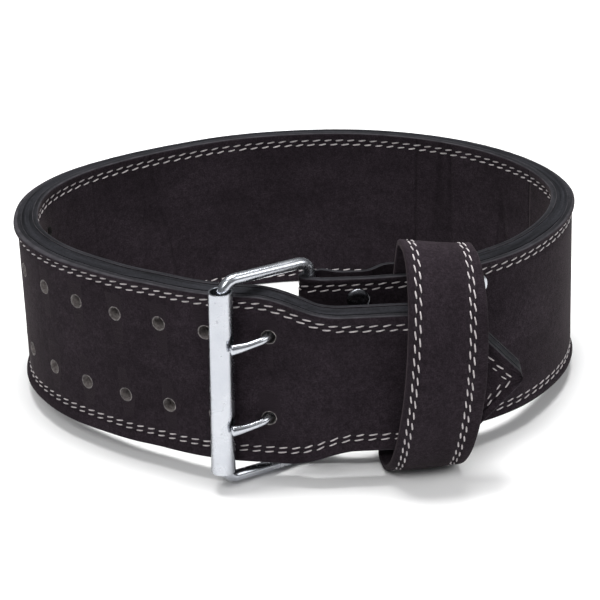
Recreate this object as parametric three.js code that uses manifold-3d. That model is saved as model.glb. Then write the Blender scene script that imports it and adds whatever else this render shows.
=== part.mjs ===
// Weightlifting belt: a three-ply leather strap bent into a ring and buckled in front.
// Millimetres, +Z up, +X to the wearer's left as seen from the front, +Y to the back.
import * as THREE from 'three';
import { mergeVertices } from 'three/addons/utils/BufferGeometryUtils.js';
import Module from 'manifold-3d';

const wasm = await Module();
wasm.setup();

// Strap
const STRAP_WIDTH = 101.6;      // across the flat strap, edge to edge
const SUEDE = 2.6;              // outer ply, inner ply and the ply round the bar
const CORE = 6.2;               // stiff middle ply
const GAP = 0.3;                // left between pieces that lie on each other
const EDGE_SLANT = 0.9;         // bending draws the outer ply's edges in and the inner ply's out
const EDGE_FLARE = 0.7;         // how far the edges splay beyond the stitched line, at least
const EDGE_ROUND = 1.0;         // rounding of a suede edge
const SEAM_DEPTH = 6;           // stitched line, from the strap's edge
const SEAM_PINCH = 0.5;         // how far the stitches pull the suede in

// Ring, outer face to outer face
const RING_WIDTH = 328;
const RING_DEPTH = 248;

// Tongue: the free end, from the prongs to its point
const TONGUE_CLEARANCE = 14.7;  // between the tongue and the ply behind it
const TONGUE_TOE_IN = 1;        // degrees that the straight tongue turns towards the ring
const TONGUE_LENGTH = 141;      // prong holes to point
const TONGUE_TOP_CUT = 11.6;    // taken off the strap's width above the tongue
const TONGUE_TOP_FROM = -8;     // where that cut starts and is full, past the prong holes
const TONGUE_TOP_BY = 42;
const TONGUE_FOOT_CUT = 8;      // the same below the tongue
const TONGUE_FOOT_FROM = 9;
const TONGUE_FOOT_BY = 48;
const POINT_ANGLE = 94;         // degrees between the point's two edges
const POINT_ROUND = 6;          // radius of the point
const POINT_BLUNT = 1;          // half the height of its very end

// Holes
const HOLE_DIAMETER = 8.2;
const HOLE_PITCH = 29.9;
const HOLE_ROWS_APART = 50;
const HOLE_ROWS_RISE = 1;       // the two rows' middle, above the strap's
const HOLE_FIRST_PITCH = 33.4;  // from the pair that takes the prongs to the next
const HOLE_LEAN = 0.08;         // upper hole's offset along the strap for each mm above the lower
const HOLE_PAIRS = 9;

// Buckle
const BUCKLE_WIRE = 6.6;
const BUCKLE_RISE = 8.2;        // centre line of the upper arm, above the strap's edge
const BUCKLE_DROP = 15;         // underside of the lower arm, below the other edge
const BUCKLE_CORNER = 8;        // bend radius on the wire's centre line
const ROLLER_DIAMETER = 13.8;
const ROLLER_WALL = 1.1;
const ROLLER_PLAY = 1;          // the frame's bar lies off the roller's axis
const ROLLER_END_PLAY = 1.95;   // between its ends and the two arms
const ROLLER_NOTCH = 5;         // width of the seat for each prong's tip
const ROLLER_NOTCH_DEPTH = 2.4;
const ROLLER_NOTCH_RISE = 1.5;  // its middle, above the row of holes
const BUCKLE_LEAN = 0.034;      // sideways for each mm of height
const PRONG_WIRE = 4.8;
const PRONG_TIP = 6.2;          // the tip is flattened to this height
const PRONG_SAG = 2.5;          // the tip lies lower than the hole
const PRONG_TIP_TURN = 18;      // degrees round the roller from the hole to the tip
const PRONG_AHEAD = 0.9;        // its middle in the hole's inner mouth, towards the strap's point
const PRONG_ASTERN = 1.1;       // and in the outer mouth, away from it
const PRONG_BEHIND = 1;         // how far behind the wall it starts to turn in
const PRONG_PROUD = 0.6;        // how far in front of the face it turns over
const PRONG_ARCH = 1;           // its rise between the hole and the roller
const PRONG_SLOT_DEEP = 1;      // room round the eye in the fold's slot
const PRONG_SLOT_PLAY = 0.8;    // and on each side of it

// The strap's leaf, behind itself between the bar and the second rivets
const LEAF_APART = 2.4;         // between the ply and its leaf at the first rivets
const LEAF_CLOSES_FROM = 4;     // where the fold draws in, along the face
const LEAF_CLOSES_BY = 20;
const LEAF_PARTS_EARLY = 1;     // it leaves again under the first rivets' back caps
const LEAF_PARTS_LATE = 4;      // and is clear of the core past the keeper's edge
const LEAF_MARGIN = 2;          // from the second rivets' back caps to its end

// Rivets
const RIVET_CAP = 13;
const RIVET_BACK_CAP = 10;
const RIVET_CAP_HEIGHT = 2;
const RIVET_SHANK = 4;
const RIVET_ROWS_APART = 75;
const RIVET_FROM_BAR = 28;      // first column, along the face

// Keeper loop
const KEEPER_WIDTH = 45;
const KEEPER_THICKNESS = 3.4;
const KEEPER_RISE = 16.4;       // its top, above the strap's edge; its foot lies level with the buckle's
const KEEPER_CROWN = 8;         // the loop's highest line, in front of the ring's face
const KEEPER_BULGE = 38.5;      // from there to its front
const KEEPER_FROM_BAR = 64.5;   // its middle, along the face
const KEEPER_LEAN = 0.1;        // sideways for each mm of height
const KEEPER_SWAY = 0.06;       // its front's sideways shift for each mm of bulge
const KEEPER_SKEW = 0.03;       // one side is lower and fuller by this share, the other taller
const KEEPER_FRONT_POWER = 1.9; // superellipse power: 2 is round, more is squarer
const KEEPER_BACK_POWER = 8;
const KEEPER_ROUND = 0.8;       // its edges' chamfer
const KEEPER_CLEAR = 2;         // from its edge to the core's end

// Places round the ring, in degrees: the bar past the front, the others short of a full turn to it
const BAR_BEARING = 1.6;
const TONGUE_LIFTS = 32;        // the tongue starts to leave the ring
const TONGUE_LIFTING = 36;      // and is straight this much further on
const ROLLER_SHORT = 14.6;
const PRONGS_SHORT = 7.8;

// Lengths of faceting
const RING_STEP = 12;
const TONGUE_STEP = 7;
const POINT_STATIONS = [42, 38, 26, 14, 6, 2, 0.6, 0]; // before the tongue's end
const NORMAL_REACH = 3;         // to each side of a place, to find which way the face looks

// What follows from the sizes above
const WALL = 2 * SUEDE + CORE + 2 * GAP;
const MIDDLE = STRAP_WIDTH / 2;
const BAR_RADIUS = BUCKLE_WIRE / 2;
const ROLLER_RADIUS = ROLLER_DIAMETER / 2;
const HOLE_HEIGHTS = [-1, 1].map((side) => MIDDLE + HOLE_ROWS_RISE - side * HOLE_ROWS_APART / 2);
const RIVET_HEIGHTS = [-1, 1].map((side) => MIDDLE - side * RIVET_ROWS_APART / 2);
const BUCKLE_HEIGHT = STRAP_WIDTH + BUCKLE_RISE + BUCKLE_DROP - BAR_RADIUS;
const ROLLER_LENGTH = BUCKLE_HEIGHT - BUCKLE_WIRE - 2 * ROLLER_END_PLAY;
const KEEPER_HEIGHT = STRAP_WIDTH + KEEPER_RISE + BUCKLE_DROP;
const TONGUE_LEAVES = 360 - TONGUE_LIFTS;
const ROLLER_BEARING = 360 - ROLLER_SHORT;
const PRONG_BEARING = 360 - PRONGS_SHORT;

// Ring outline: its reach at each bearing as a share of an ellipse's, and the edges' splay as a
// share of EDGE_FLARE
const RING_OUTLINE = [
  { bearing: 0, reach: 0.946, splay: 1 },
  { bearing: 15, reach: 0.978, splay: 1 },
  { bearing: 30, reach: 1.03, splay: 1 },
  { bearing: 45, reach: 1.038, splay: 1 },
  { bearing: 60, reach: 1.02, splay: 1.5 },
  { bearing: 75, reach: 1.008, splay: 2 },
  { bearing: 90, reach: 1.004, splay: 2 },
  { bearing: 105, reach: 0.994, splay: 2 },
  { bearing: 120, reach: 0.991, splay: 1.5 },
  { bearing: 135, reach: 0.996, splay: 1 },
  { bearing: 150, reach: 1.003, splay: 1 },
  { bearing: 165, reach: 1.008, splay: 1 },
  { bearing: 180, reach: 1, splay: 1 },
  { bearing: 195, reach: 0.992, splay: 1 },
  { bearing: 210, reach: 0.978, splay: 1 },
  { bearing: 225, reach: 0.986, splay: 2 },
  { bearing: 240, reach: 1.008, splay: 3 },
  { bearing: 255, reach: 1.02, splay: 3 },
  { bearing: 270, reach: 1.018, splay: 3 },
  { bearing: 285, reach: 1.022, splay: 3.5 },
  { bearing: 300, reach: 1.018, splay: 4 },
  { bearing: 315, reach: 1.016, splay: 3 },
  { bearing: 330, reach: 1.037, splay: 1.5 },
  { bearing: 345, reach: 1.02, splay: 1 },
];

const radians = (degrees) => degrees * Math.PI / 180;
const lerp = THREE.MathUtils.lerp;
const smooth = (from, to, x) => THREE.MathUtils.smoothstep(x, from, to);

// A column of the outline at any bearing, by a cubic through the table's rows
function outlineAt(column, bearing) {
  const rows = RING_OUTLINE.length;
  const place = THREE.MathUtils.euclideanModulo(bearing, 360) * rows / 360;
  const first = Math.floor(place);
  const u = place - first;
  const row = (step) => RING_OUTLINE[(first + step + rows) % rows][column];
  const before = row(-1), a = row(0), b = row(1), after = row(2);
  const rise = (b - before) / 2;
  const fall = (after - a) / 2;
  return a + u * (rise + u * (3 * (b - a) - 2 * rise - fall + u * (2 * (a - b) + rise + fall)));
}

function ringPoint(bearing) {
  const reach = outlineAt('reach', bearing);
  const x = RING_WIDTH / 2 * reach * Math.sin(radians(bearing));
  const y = -RING_DEPTH / 2 * reach * Math.cos(radians(bearing));
  return new THREE.Vector2(x, y);
}

function ringNormal(bearing) {
  const along = ringPoint(bearing + 0.5).sub(ringPoint(bearing - 0.5)).normalize();
  return new THREE.Vector2(along.y, -along.x);
}

// The strap's outer face seen from above: the ring, which the tongue leaves to run straight
const tongueFoot = ringPoint(0).add(new THREE.Vector2(0, -(WALL + TONGUE_CLEARANCE)));
const tongueRun = new THREE.Vector2(Math.cos(radians(TONGUE_TOE_IN)), Math.sin(radians(TONGUE_TOE_IN)));

function facePoint(bearing) {
  const point = ringPoint(bearing);
  const leaving = smooth(TONGUE_LEAVES, TONGUE_LEAVES + TONGUE_LIFTING, bearing);
  if (leaving === 0) return point;
  const normal = ringNormal(bearing);
  const toLine = tongueFoot.clone().sub(point).cross(tongueRun) / normal.cross(tongueRun);
  return point.addScaledVector(normal, leaving * toLine);
}

// The same face measured along its length, from the buckle's bar to the tongue's point
const FACE_STEP = 0.25;
const faceRows = [];
for (let bearing = BAR_BEARING, length = 0; bearing < 360 + 60; bearing += FACE_STEP) {
  const point = facePoint(bearing);
  if (faceRows.length > 0) length += point.distanceTo(faceRows.at(-1).point);
  faceRows.push({ bearing, point, length });
}

function lengthAtBearing(bearing) {
  const place = (bearing - BAR_BEARING) / FACE_STEP;
  const row = Math.floor(place);
  return lerp(faceRows[row].length, faceRows[row + 1].length, place - row);
}

function placeAt(length) {
  let row = faceRows.findIndex((entry) => entry.length > length) - 1;
  row = THREE.MathUtils.clamp(row, 0, faceRows.length - 2);
  const a = faceRows[row], b = faceRows[row + 1];
  const share = (length - a.length) / (b.length - a.length);
  return { point: a.point.clone().lerp(b.point, share), bearing: lerp(a.bearing, b.bearing, share) };
}

const faceAt = (length) => placeAt(length).point;
const flareAt = (length) => EDGE_FLARE * outlineAt('splay', placeAt(length).bearing);

function normalAt(length) {
  const along = faceAt(length + NORMAL_REACH).sub(faceAt(Math.max(length - NORMAL_REACH, 0))).normalize();
  return new THREE.Vector2(along.y, -along.x);
}

// A place on the strap: how far along its face, and how deep behind it
const behindFace = (length, depth) => faceAt(length).addScaledVector(normalAt(length), -depth);

const prongLength = lengthAtBearing(PRONG_BEARING);
const tipLength = prongLength + TONGUE_LENGTH;
const keeperEnd = KEEPER_FROM_BAR + KEEPER_WIDTH / 2;
const coreStart = keeperEnd + KEEPER_CLEAR;
const secondRivets = coreStart + KEEPER_LEAN * RIVET_ROWS_APART / 2 + RIVET_SHANK / 2 + KEEPER_CLEAR;
const leafEnd = secondRivets + RIVET_BACK_CAP / 2 + LEAF_MARGIN;

// The strap's top and bottom edges at a place along it
function edgesAt(length) {
  const fromProngs = length - prongLength;
  const top = STRAP_WIDTH - TONGUE_TOP_CUT * smooth(TONGUE_TOP_FROM, TONGUE_TOP_BY, fromProngs);
  const bottom = TONGUE_FOOT_CUT * smooth(TONGUE_FOOT_FROM, TONGUE_FOOT_BY, fromProngs);
  const fromTip = Math.max(tipLength - length, 0);
  const slope = Math.tan(radians(POINT_ANGLE / 2));
  const lead = POINT_ROUND * (Math.hypot(1, slope) - slope);
  const half = fromTip * slope + Math.min(lead + POINT_BLUNT, POINT_BLUNT + fromTip * 2);
  const middle = (top + bottom) / 2;
  return { top: Math.min(top, middle + half), bottom: Math.max(bottom, middle - half) };
}

// Closed mesh through rings of points; a closed run joins its last ring to its first
function loft(rings, closed = false) {
  const count = rings[0].length;
  const positions = rings.flat().flatMap((point) => point.toArray());
  const index = [];
  const spans = closed ? rings.length : rings.length - 1;
  for (let ring = 0; ring < spans; ring += 1) {
    const next = (ring + 1) % rings.length;
    for (let side = 0; side < count; side += 1) {
      const after = (side + 1) % count;
      const a = ring * count + side, b = ring * count + after;
      const c = next * count + side, d = next * count + after;
      index.push(a, b, d, a, d, c);
    }
  }
  if (!closed) {
    const last = (rings.length - 1) * count;
    for (let side = 1; side < count - 1; side += 1) {
      index.push(0, side + 1, side, last, last + side, last + side + 1);
    }
  }
  const geometry = new THREE.BufferGeometry();
  geometry.setAttribute('position', new THREE.Float32BufferAttribute(positions, 3));
  geometry.setIndex(index);
  return facingOut(geometry);
}

function signedVolume(geometry) {
  const position = geometry.getAttribute('position');
  const index = geometry.getIndex().array;
  const corner = (k) => new THREE.Vector3().fromBufferAttribute(position, index[k]);
  let volume = 0;
  for (let k = 0; k < index.length; k += 3) {
    volume += corner(k).dot(corner(k + 1).cross(corner(k + 2))) / 6;
  }
  return volume;
}

function facingOut(geometry) {
  if (signedVolume(geometry) > 0) return geometry;
  const index = geometry.getIndex().array;
  for (let k = 0; k < index.length; k += 3) {
    [index[k + 1], index[k + 2]] = [index[k + 2], index[k + 1]];
  }
  return geometry;
}

function solid(geometry) {
  const bare = geometry.clone();
  bare.deleteAttribute('normal');
  bare.deleteAttribute('uv');
  const merged = facingOut(mergeVertices(bare, 1e-4));
  const vertProperties = new Float32Array(merged.getAttribute('position').array);
  const triVerts = new Uint32Array(merged.getIndex().array);
  return new wasm.Manifold(new wasm.Mesh({ numProp: 3, vertProperties, triVerts }));
}

function geometryOf(manifold) {
  const { vertProperties, triVerts } = manifold.getMesh();
  const geometry = new THREE.BufferGeometry();
  geometry.setAttribute('position', new THREE.BufferAttribute(new Float32Array(vertProperties), 3));
  geometry.setIndex(new THREE.BufferAttribute(new Uint32Array(triVerts), 1));
  return geometry;
}

function cut(geometry, tools) {
  let body = solid(geometry);
  for (const tool of tools) body = body.subtract(solid(tool));
  return geometryOf(body);
}

const join = (first, second) => geometryOf(solid(first).add(solid(second)));

// A drum whose axis starts at a point in plan, at one height, and runs along a plan direction
function levelDrum(radius, sides, plan, height, direction, from, to) {
  const drum = new THREE.CylinderGeometry(radius, radius, to - from, sides);
  const axis = new THREE.Vector3(direction.x, direction.y, 0);
  drum.applyQuaternion(new THREE.Quaternion().setFromUnitVectors(new THREE.Vector3(0, 1, 0), axis));
  const middle = axis.multiplyScalar((from + to) / 2);
  return drum.translate(plan.x + middle.x, plan.y + middle.y, height);
}

// Holes through the strap, square to its face
function strapHole(length, height, diameter, sides) {
  const reach = 2 * WALL;
  return levelDrum(diameter / 2, sides, faceAt(length), height, normalAt(length), -reach, reach / 2);
}

function prongHoles() {
  const tools = [];
  for (let pair = 0; pair < HOLE_PAIRS; pair += 1) {
    const onward = pair === 0 ? 0 : HOLE_FIRST_PITCH + (pair - 1) * HOLE_PITCH;
    const lean = pair === 0 ? -BUCKLE_LEAN : HOLE_LEAN;
    for (const height of HOLE_HEIGHTS) {
      const length = prongLength - onward - lean * (height - MIDDLE);
      tools.push(strapHole(length, height, HOLE_DIAMETER, 10));
    }
  }
  return tools;
}

function rivetHoles(lengths) {
  const diameter = RIVET_SHANK + 2 * GAP;
  return lengths.flatMap((length) => RIVET_HEIGHTS.map((height) => strapHole(length, height, diameter, 8)));
}

// Places along the strap, shared by all its plies: closer together where it bends away or tapers
const marks = [0];
while (marks.at(-1) < tipLength - STRAP_WIDTH / 2) {
  const inRing = marks.at(-1) < lengthAtBearing(TONGUE_LEAVES);
  marks.push(marks.at(-1) + (inRing ? RING_STEP : TONGUE_STEP));
}
marks.pop();
for (const left of POINT_STATIONS) marks.push(tipLength - left);

function places(from, to) {
  const between = marks.filter((mark) => mark > from + TONGUE_STEP / 3 && mark < to);
  return [from, ...between, to];
}

// Edge height at a depth behind the face: bending slants the strap's two edges
const slantAt = (depth) => EDGE_SLANT * (2 * THREE.MathUtils.clamp(depth / WALL, 0, 1) - 1);

// A ply's section: its flat side and its worn side, which is pinched at the seams and rounded
function plySection(edges, slant, thickness, flare) {
  const half = (edges.top - edges.bottom) / 2 + slant;
  const middle = (edges.top + edges.bottom) / 2;
  const round = Math.min(EDGE_ROUND, half / 3);
  const seam = Math.min(SEAM_DEPTH, half * 0.7);
  const worn = thickness / 2;
  return [
    { out: -worn, z: middle - half },
    { out: worn + flare - round * 0.8, z: middle - half },
    { out: worn + flare, z: middle - half + round },
    { out: worn - SEAM_PINCH, z: middle - half + seam },
    { out: worn - SEAM_PINCH, z: middle + half - seam },
    { out: worn + flare, z: middle + half - round },
    { out: worn + flare - round * 0.8, z: middle + half },
    { out: -worn, z: middle + half },
  ];
}

// A strip lofted through plan points with a section at each, which leans where a station says so
function strip(stations) {
  const rings = stations.map((station, k) => {
    const before = stations[Math.max(k - 1, 0)].plan;
    const after = stations[Math.min(k + 1, stations.length - 1)].plan;
    const along = after.clone().sub(before).normalize();
    const out = new THREE.Vector2(along.y, -along.x);
    return station.section.map((corner) => {
      const plan = station.plan.clone().addScaledVector(out, corner.out);
      plan.addScaledVector(station.lean, corner.z - MIDDLE);
      return new THREE.Vector3(plan.x, plan.y, corner.z);
    });
  });
  return loft(rings);
}

const tangentAt = (length) => new THREE.Vector2(-normalAt(length).y, normalAt(length).x);

// The lean of the fold, which is the buckle's, and of the plies' ends beside the keeper
const buckleRun = tangentAt(lengthAtBearing(ROLLER_BEARING)).multiplyScalar(BUCKLE_LEAN);
const fadingLean = (lean, from, to, length) => lean.clone().multiplyScalar(1 - smooth(from, to, length));
const foldLean = (length) => fadingLean(buckleRun, 0, RIVET_FROM_BAR - RIVET_CAP / 2, length);
const endLean = (length) => fadingLean(
  tangentAt(length).multiplyScalar(KEEPER_LEAN), coreStart, coreStart + 3 * RING_STEP, length);
const buckleLean = new THREE.Matrix4()
  .makeTranslation(-buckleRun.x * MIDDLE, -buckleRun.y * MIDDLE, 0)
  .multiply(new THREE.Matrix4().makeShear(0, 0, 0, 0, buckleRun.x, buckleRun.y));

// Inner end of the leaf: how far behind the face the ply lies on its way back
const foldDepth = SUEDE + GAP + BAR_RADIUS;
const leafAtRivets = SUEDE + LEAF_APART + SUEDE / 2;
const leafAtCore = WALL + EDGE_FLARE + GAP + SUEDE / 2;

function leafDepth(length) {
  const closing = smooth(LEAF_CLOSES_FROM, LEAF_CLOSES_BY, length);
  const nearBar = lerp(foldDepth + GAP + BAR_RADIUS + SUEDE / 2, leafAtRivets, closing);
  const clearOfRivet = RIVET_FROM_BAR + RIVET_BACK_CAP / 2 - LEAF_PARTS_EARLY;
  const underKeeper = KEEPER_FROM_BAR - KEEPER_WIDTH / 2 + LEAF_PARTS_LATE;
  const toCore = smooth(clearOfRivet, underKeeper, length);
  return lerp(nearBar, leafAtCore, toCore);
}

const barAxis = behindFace(0, foldDepth);

function suedeOuter() {
  const edgeOf = (length) => edgesAt(Math.max(length, 0));
  const station = (plan, length, slant, flare) =>
    ({ plan, section: plySection(edgeOf(length), slant, SUEDE, flare), lean: foldLean(length) });
  const leafPlaces = places(coreStart, leafEnd).reverse();
  while (leafPlaces.at(-1) > 2 * TONGUE_STEP) leafPlaces.push(leafPlaces.at(-1) - TONGUE_STEP);
  const leaf = leafPlaces.map((length) =>
    station(behindFace(length, leafDepth(length)), length, EDGE_SLANT, 0));
  const fold = [];
  const radius = BAR_RADIUS + GAP + SUEDE / 2;
  const facing = normalAt(0).angle();
  for (const turn of [180, 150, 120, 90, 60, 30, 0]) {
    const angle = facing - radians(turn);
    const out = new THREE.Vector2(Math.cos(angle), Math.sin(angle));
    const plan = barAxis.clone().addScaledVector(out, radius);
    fold.push(station(plan, 0, 0, 0));
  }
  const body = places(TONGUE_STEP, tipLength).map((length) =>
    station(behindFace(length, SUEDE / 2), length, slantAt(0), flareAt(length)));
  const bare = strip([...leaf, ...fold, ...body]);
  const eyes = HOLE_HEIGHTS.map((height) => {
    const reach = BAR_RADIUS + PRONG_WIRE + 2 * GAP + PRONG_SLOT_DEEP;
    const slot = new THREE.CylinderGeometry(reach, reach, PRONG_WIRE + 2 * PRONG_SLOT_PLAY, 16);
    return slot.rotateX(Math.PI / 2).translate(barAxis.x, barAxis.y, height).applyMatrix4(buckleLean);
  });
  const rivets = rivetHoles([RIVET_FROM_BAR, secondRivets]);
  return cut(bare, [...eyes, ...rivets, ...prongHoles()]);
}

function core() {
  const depth = SUEDE + GAP;
  const stations = places(coreStart, tipLength).map((length) => {
    const edges = edgesAt(length);
    const outer = slantAt(depth), inner = slantAt(depth + CORE);
    const section = [
      { out: CORE / 2, z: edges.bottom - outer },
      { out: CORE / 2, z: edges.top + outer },
      { out: -CORE / 2, z: edges.top + inner },
      { out: -CORE / 2, z: edges.bottom - inner },
    ];
    return { plan: behindFace(length, depth + CORE / 2), section, lean: endLean(length) };
  });
  return cut(strip(stations), [...rivetHoles([secondRivets]), ...prongHoles()]);
}

function suedeInner() {
  const depth = WALL - SUEDE / 2;
  const stations = places(coreStart, tipLength).map((length) => {
    const section = plySection(edgesAt(length), slantAt(WALL), SUEDE, EDGE_FLARE);
    const turned = section.map((corner) => ({ out: -corner.out, z: corner.z }));
    return { plan: behindFace(length, depth), section: turned, lean: endLean(length) };
  });
  return cut(strip(stations), [...rivetHoles([secondRivets]), ...prongHoles()]);
}

// Buckle: the roller lies on the strap's face, the bar in the fold, and the frame joins them
const rollerLength = lengthAtBearing(ROLLER_BEARING);
const rollerAxis = behindFace(rollerLength, -(ROLLER_RADIUS + EDGE_FLARE + GAP));
const lowArm = BUCKLE_WIRE / 2 - BUCKLE_DROP;
const highArm = lowArm + BUCKLE_HEIGHT;

function wireRing(centre, across, up, radius, sides) {
  return Array.from({ length: sides }, (_, side) => {
    const angle = 2 * Math.PI * (side + 0.5) / sides;
    const point = centre.clone().addScaledVector(across, radius * Math.cos(angle));
    return point.addScaledVector(up, radius * Math.sin(angle));
  });
}

function buckleFrame() {
  const reach = rollerAxis.distanceTo(barAxis) - ROLLER_PLAY;
  const run = rollerAxis.clone().sub(barAxis).normalize();
  const square = new THREE.Vector3(run.y, -run.x, 0);
  const corners = [
    { along: BUCKLE_CORNER, z: lowArm + BUCKLE_CORNER, start: 180 },
    { along: reach - BUCKLE_CORNER, z: lowArm + BUCKLE_CORNER, start: 270 },
    { along: reach - BUCKLE_CORNER, z: highArm - BUCKLE_CORNER, start: 0 },
    { along: BUCKLE_CORNER, z: highArm - BUCKLE_CORNER, start: 90 },
  ];
  const rings = [];
  for (const corner of corners) {
    for (let turn = 0; turn <= 90; turn += 18) {
      const angle = radians(corner.start + turn);
      const away = new THREE.Vector3(run.x * Math.cos(angle), run.y * Math.cos(angle), Math.sin(angle));
      const centre = new THREE.Vector3(
        barAxis.x + run.x * corner.along, barAxis.y + run.y * corner.along,
        corner.z + BUCKLE_LEAN * corner.along);
      rings.push(wireRing(centre.addScaledVector(away, BUCKLE_CORNER), away, square, BUCKLE_WIRE / 2, 10));
    }
  }
  return loft(rings, true).applyMatrix4(buckleLean);
}

// The prong's tip rests on the roller, on the side away from the strap's point
const tipDirection = behindFace(prongLength, -PRONG_ARCH).sub(rollerAxis).normalize();
const prongTipPlan = rollerAxis.clone().add(
  tipDirection.clone().rotateAround(new THREE.Vector2(), radians(-PRONG_TIP_TURN))
    .multiplyScalar(ROLLER_RADIUS + GAP + PRONG_WIRE / 2));

function roller() {
  const outer = ROLLER_RADIUS, inner = ROLLER_RADIUS - ROLLER_WALL;
  const profile = [[inner, 0], [outer, 0], [outer, ROLLER_LENGTH], [inner, ROLLER_LENGTH], [inner, 0]];
  const tube = new THREE.LatheGeometry(profile.map(([r, z]) => new THREE.Vector2(r, z)), 18);
  const middle = (lowArm + highArm) / 2 + BUCKLE_LEAN * rollerAxis.distanceTo(barAxis);
  tube.rotateX(Math.PI / 2).translate(rollerAxis.x, rollerAxis.y, middle - ROLLER_LENGTH / 2);
  const towards = prongTipPlan.clone().sub(rollerAxis).normalize();
  const seats = HOLE_HEIGHTS.map((height) => {
    const seat = new THREE.BoxGeometry(2 * ROLLER_NOTCH_DEPTH, ROLLER_RADIUS, ROLLER_NOTCH);
    const plan = rollerAxis.clone().addScaledVector(towards, ROLLER_RADIUS);
    return seat.rotateZ(towards.angle()).translate(plan.x, plan.y, height + ROLLER_NOTCH_RISE);
  });
  return cut(tube, seats).applyMatrix4(buckleLean);
}

function prong(height) {
  const radius = PRONG_WIRE / 2;
  const ringRadius = BAR_RADIUS + GAP + radius;
  const profile = Array.from({ length: 9 }, (_, side) => {
    const angle = 2 * Math.PI * (side % 8) / 8;
    return new THREE.Vector2(ringRadius + radius * Math.cos(angle), radius * Math.sin(angle));
  });
  const eye = new THREE.LatheGeometry(profile, 16).rotateX(Math.PI / 2);
  eye.translate(barAxis.x, barAxis.y, height);
  const inMouth = behindFace(prongLength + PRONG_AHEAD, WALL + PRONG_BEHIND);
  const outMouth = behindFace(prongLength - PRONG_ASTERN, -PRONG_PROUD);
  const start = barAxis.clone().lerp(inMouth, ringRadius / barAxis.distanceTo(inMouth));
  const overFace = outMouth.clone().lerp(prongTipPlan, 0.4);
  overFace.addScaledVector(normalAt(prongLength), PRONG_ARCH);
  const plan = [start, inMouth, outMouth, overFace, prongTipPlan];
  const curve = new THREE.CatmullRomCurve3(plan.map((point) => new THREE.Vector3(point.x, point.y, height)));
  const steps = 16;
  const up = new THREE.Vector3(0, 0, 1);
  const rings = [];
  for (let step = 0; step <= steps; step += 1) {
    const share = step / steps;
    const along = curve.getTangentAt(share);
    const across = up.clone().cross(along).normalize();
    const tall = lerp(radius, PRONG_TIP / 2, smooth(0.8, 1, share));
    const ring = wireRing(new THREE.Vector3(), across, up, radius, 8);
    const centre = curve.getPointAt(share);
    centre.z -= PRONG_SAG * smooth(0.45, 1, share);
    rings.push(ring.map((point) => new THREE.Vector3(point.x, point.y, point.z * tall / radius).add(centre)));
  }
  return join(eye, loft(rings)).applyMatrix4(buckleLean);
}

// Rivet: a domed cap on the face, a shank through the plies and a flat cap on the leaf
function rivet(length, height) {
  const back = leafDepth(length) + SUEDE / 2 + GAP;
  const cap = RIVET_CAP / 2, backCap = RIVET_BACK_CAP / 2, shank = RIVET_SHANK / 2;
  const front = GAP;
  const profile = [
    [0, -back - RIVET_CAP_HEIGHT], [backCap * 0.8, -back - RIVET_CAP_HEIGHT], [backCap, -back],
    [shank, -back], [shank, front], [cap, front], [cap * 0.93, front + RIVET_CAP_HEIGHT * 0.5],
    [cap * 0.6, front + RIVET_CAP_HEIGHT * 0.9], [0, front + RIVET_CAP_HEIGHT],
  ];
  const body = new THREE.LatheGeometry(profile.map(([r, out]) => new THREE.Vector2(r, out)), 14);
  const normal = normalAt(length);
  const axis = new THREE.Vector3(normal.x, normal.y, 0);
  body.applyQuaternion(new THREE.Quaternion().setFromUnitVectors(new THREE.Vector3(0, 1, 0), axis));
  const plan = faceAt(length);
  return body.translate(plan.x, plan.y, height);
}

// Keeper: a closed band round the strap and the tongue, its back between the ply and the leaf
function keeper() {
  const place = faceAt(KEEPER_FROM_BAR);
  const out = normalAt(KEEPER_FROM_BAR);
  const along = new THREE.Vector2(-out.y, out.x);
  const crown = place.clone().addScaledVector(out, KEEPER_CROWN);
  const middle = KEEPER_HEIGHT / 2 - BUCKLE_DROP;
  const behind = KEEPER_CROWN + SUEDE + 2.5 * GAP + KEEPER_THICKNESS;
  const middleLine = (angle) => {
    const c = Math.cos(angle), s = Math.sin(angle);
    const power = c > 0 ? 2 / KEEPER_FRONT_POWER : 2 / KEEPER_BACK_POWER;
    const reach = (c > 0 ? KEEPER_BULGE : behind) - KEEPER_THICKNESS / 2;
    const tall = (KEEPER_HEIGHT - KEEPER_THICKNESS) / 2;
    return new THREE.Vector2(
      Math.sign(c) * reach * Math.abs(c) ** power, Math.sign(s) * tall * Math.abs(s) ** power);
  };
  const half = KEEPER_WIDTH / 2, thick = KEEPER_THICKNESS / 2, round = KEEPER_ROUND;
  const section = [
    [-half, -thick + round], [-half + round, -thick], [half - round, -thick], [half, -thick + round],
    [half, thick - round], [half - round, thick], [-half + round, thick], [-half, thick - round],
  ];
  const turns = 44;
  const rings = Array.from({ length: turns }, (_, turn) => {
    const angle = 2 * Math.PI * turn / turns;
    const here = middleLine(angle);
    const tangent = middleLine(angle + 0.02).sub(middleLine(angle - 0.02)).normalize();
    const normal = new THREE.Vector2(tangent.y, -tangent.x);
    return section.map(([side, depth]) => {
      const level = here.clone().addScaledVector(normal, depth);
      const skew = KEEPER_SKEW * side / half;
      level.y = (level.y + KEEPER_HEIGHT / 2) * (1 - skew) - KEEPER_HEIGHT / 2;
      if (level.x > 0) level.x *= 1 + skew;
      const sway = KEEPER_SWAY * Math.max(level.x, 0);
      const shift = side + KEEPER_LEAN * (middle + level.y - MIDDLE);
      const bow = place.clone().sub(faceAt(KEEPER_FROM_BAR + shift)).dot(out);
      const plan = crown.clone().addScaledVector(out, level.x - bow).addScaledVector(along, shift + sway);
      return new THREE.Vector3(plan.x, plan.y, middle + level.y);
    });
  });
  return loft(rings, true);
}

// The lowest that a piece reaches, measured from a floor that rises towards the back
function lowest(geometry, slope) {
  const position = geometry.getAttribute('position');
  let level = Infinity;
  for (let k = 0; k < position.count; k += 1) {
    level = Math.min(level, position.getZ(k) - slope * position.getY(k));
  }
  return level;
}

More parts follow.
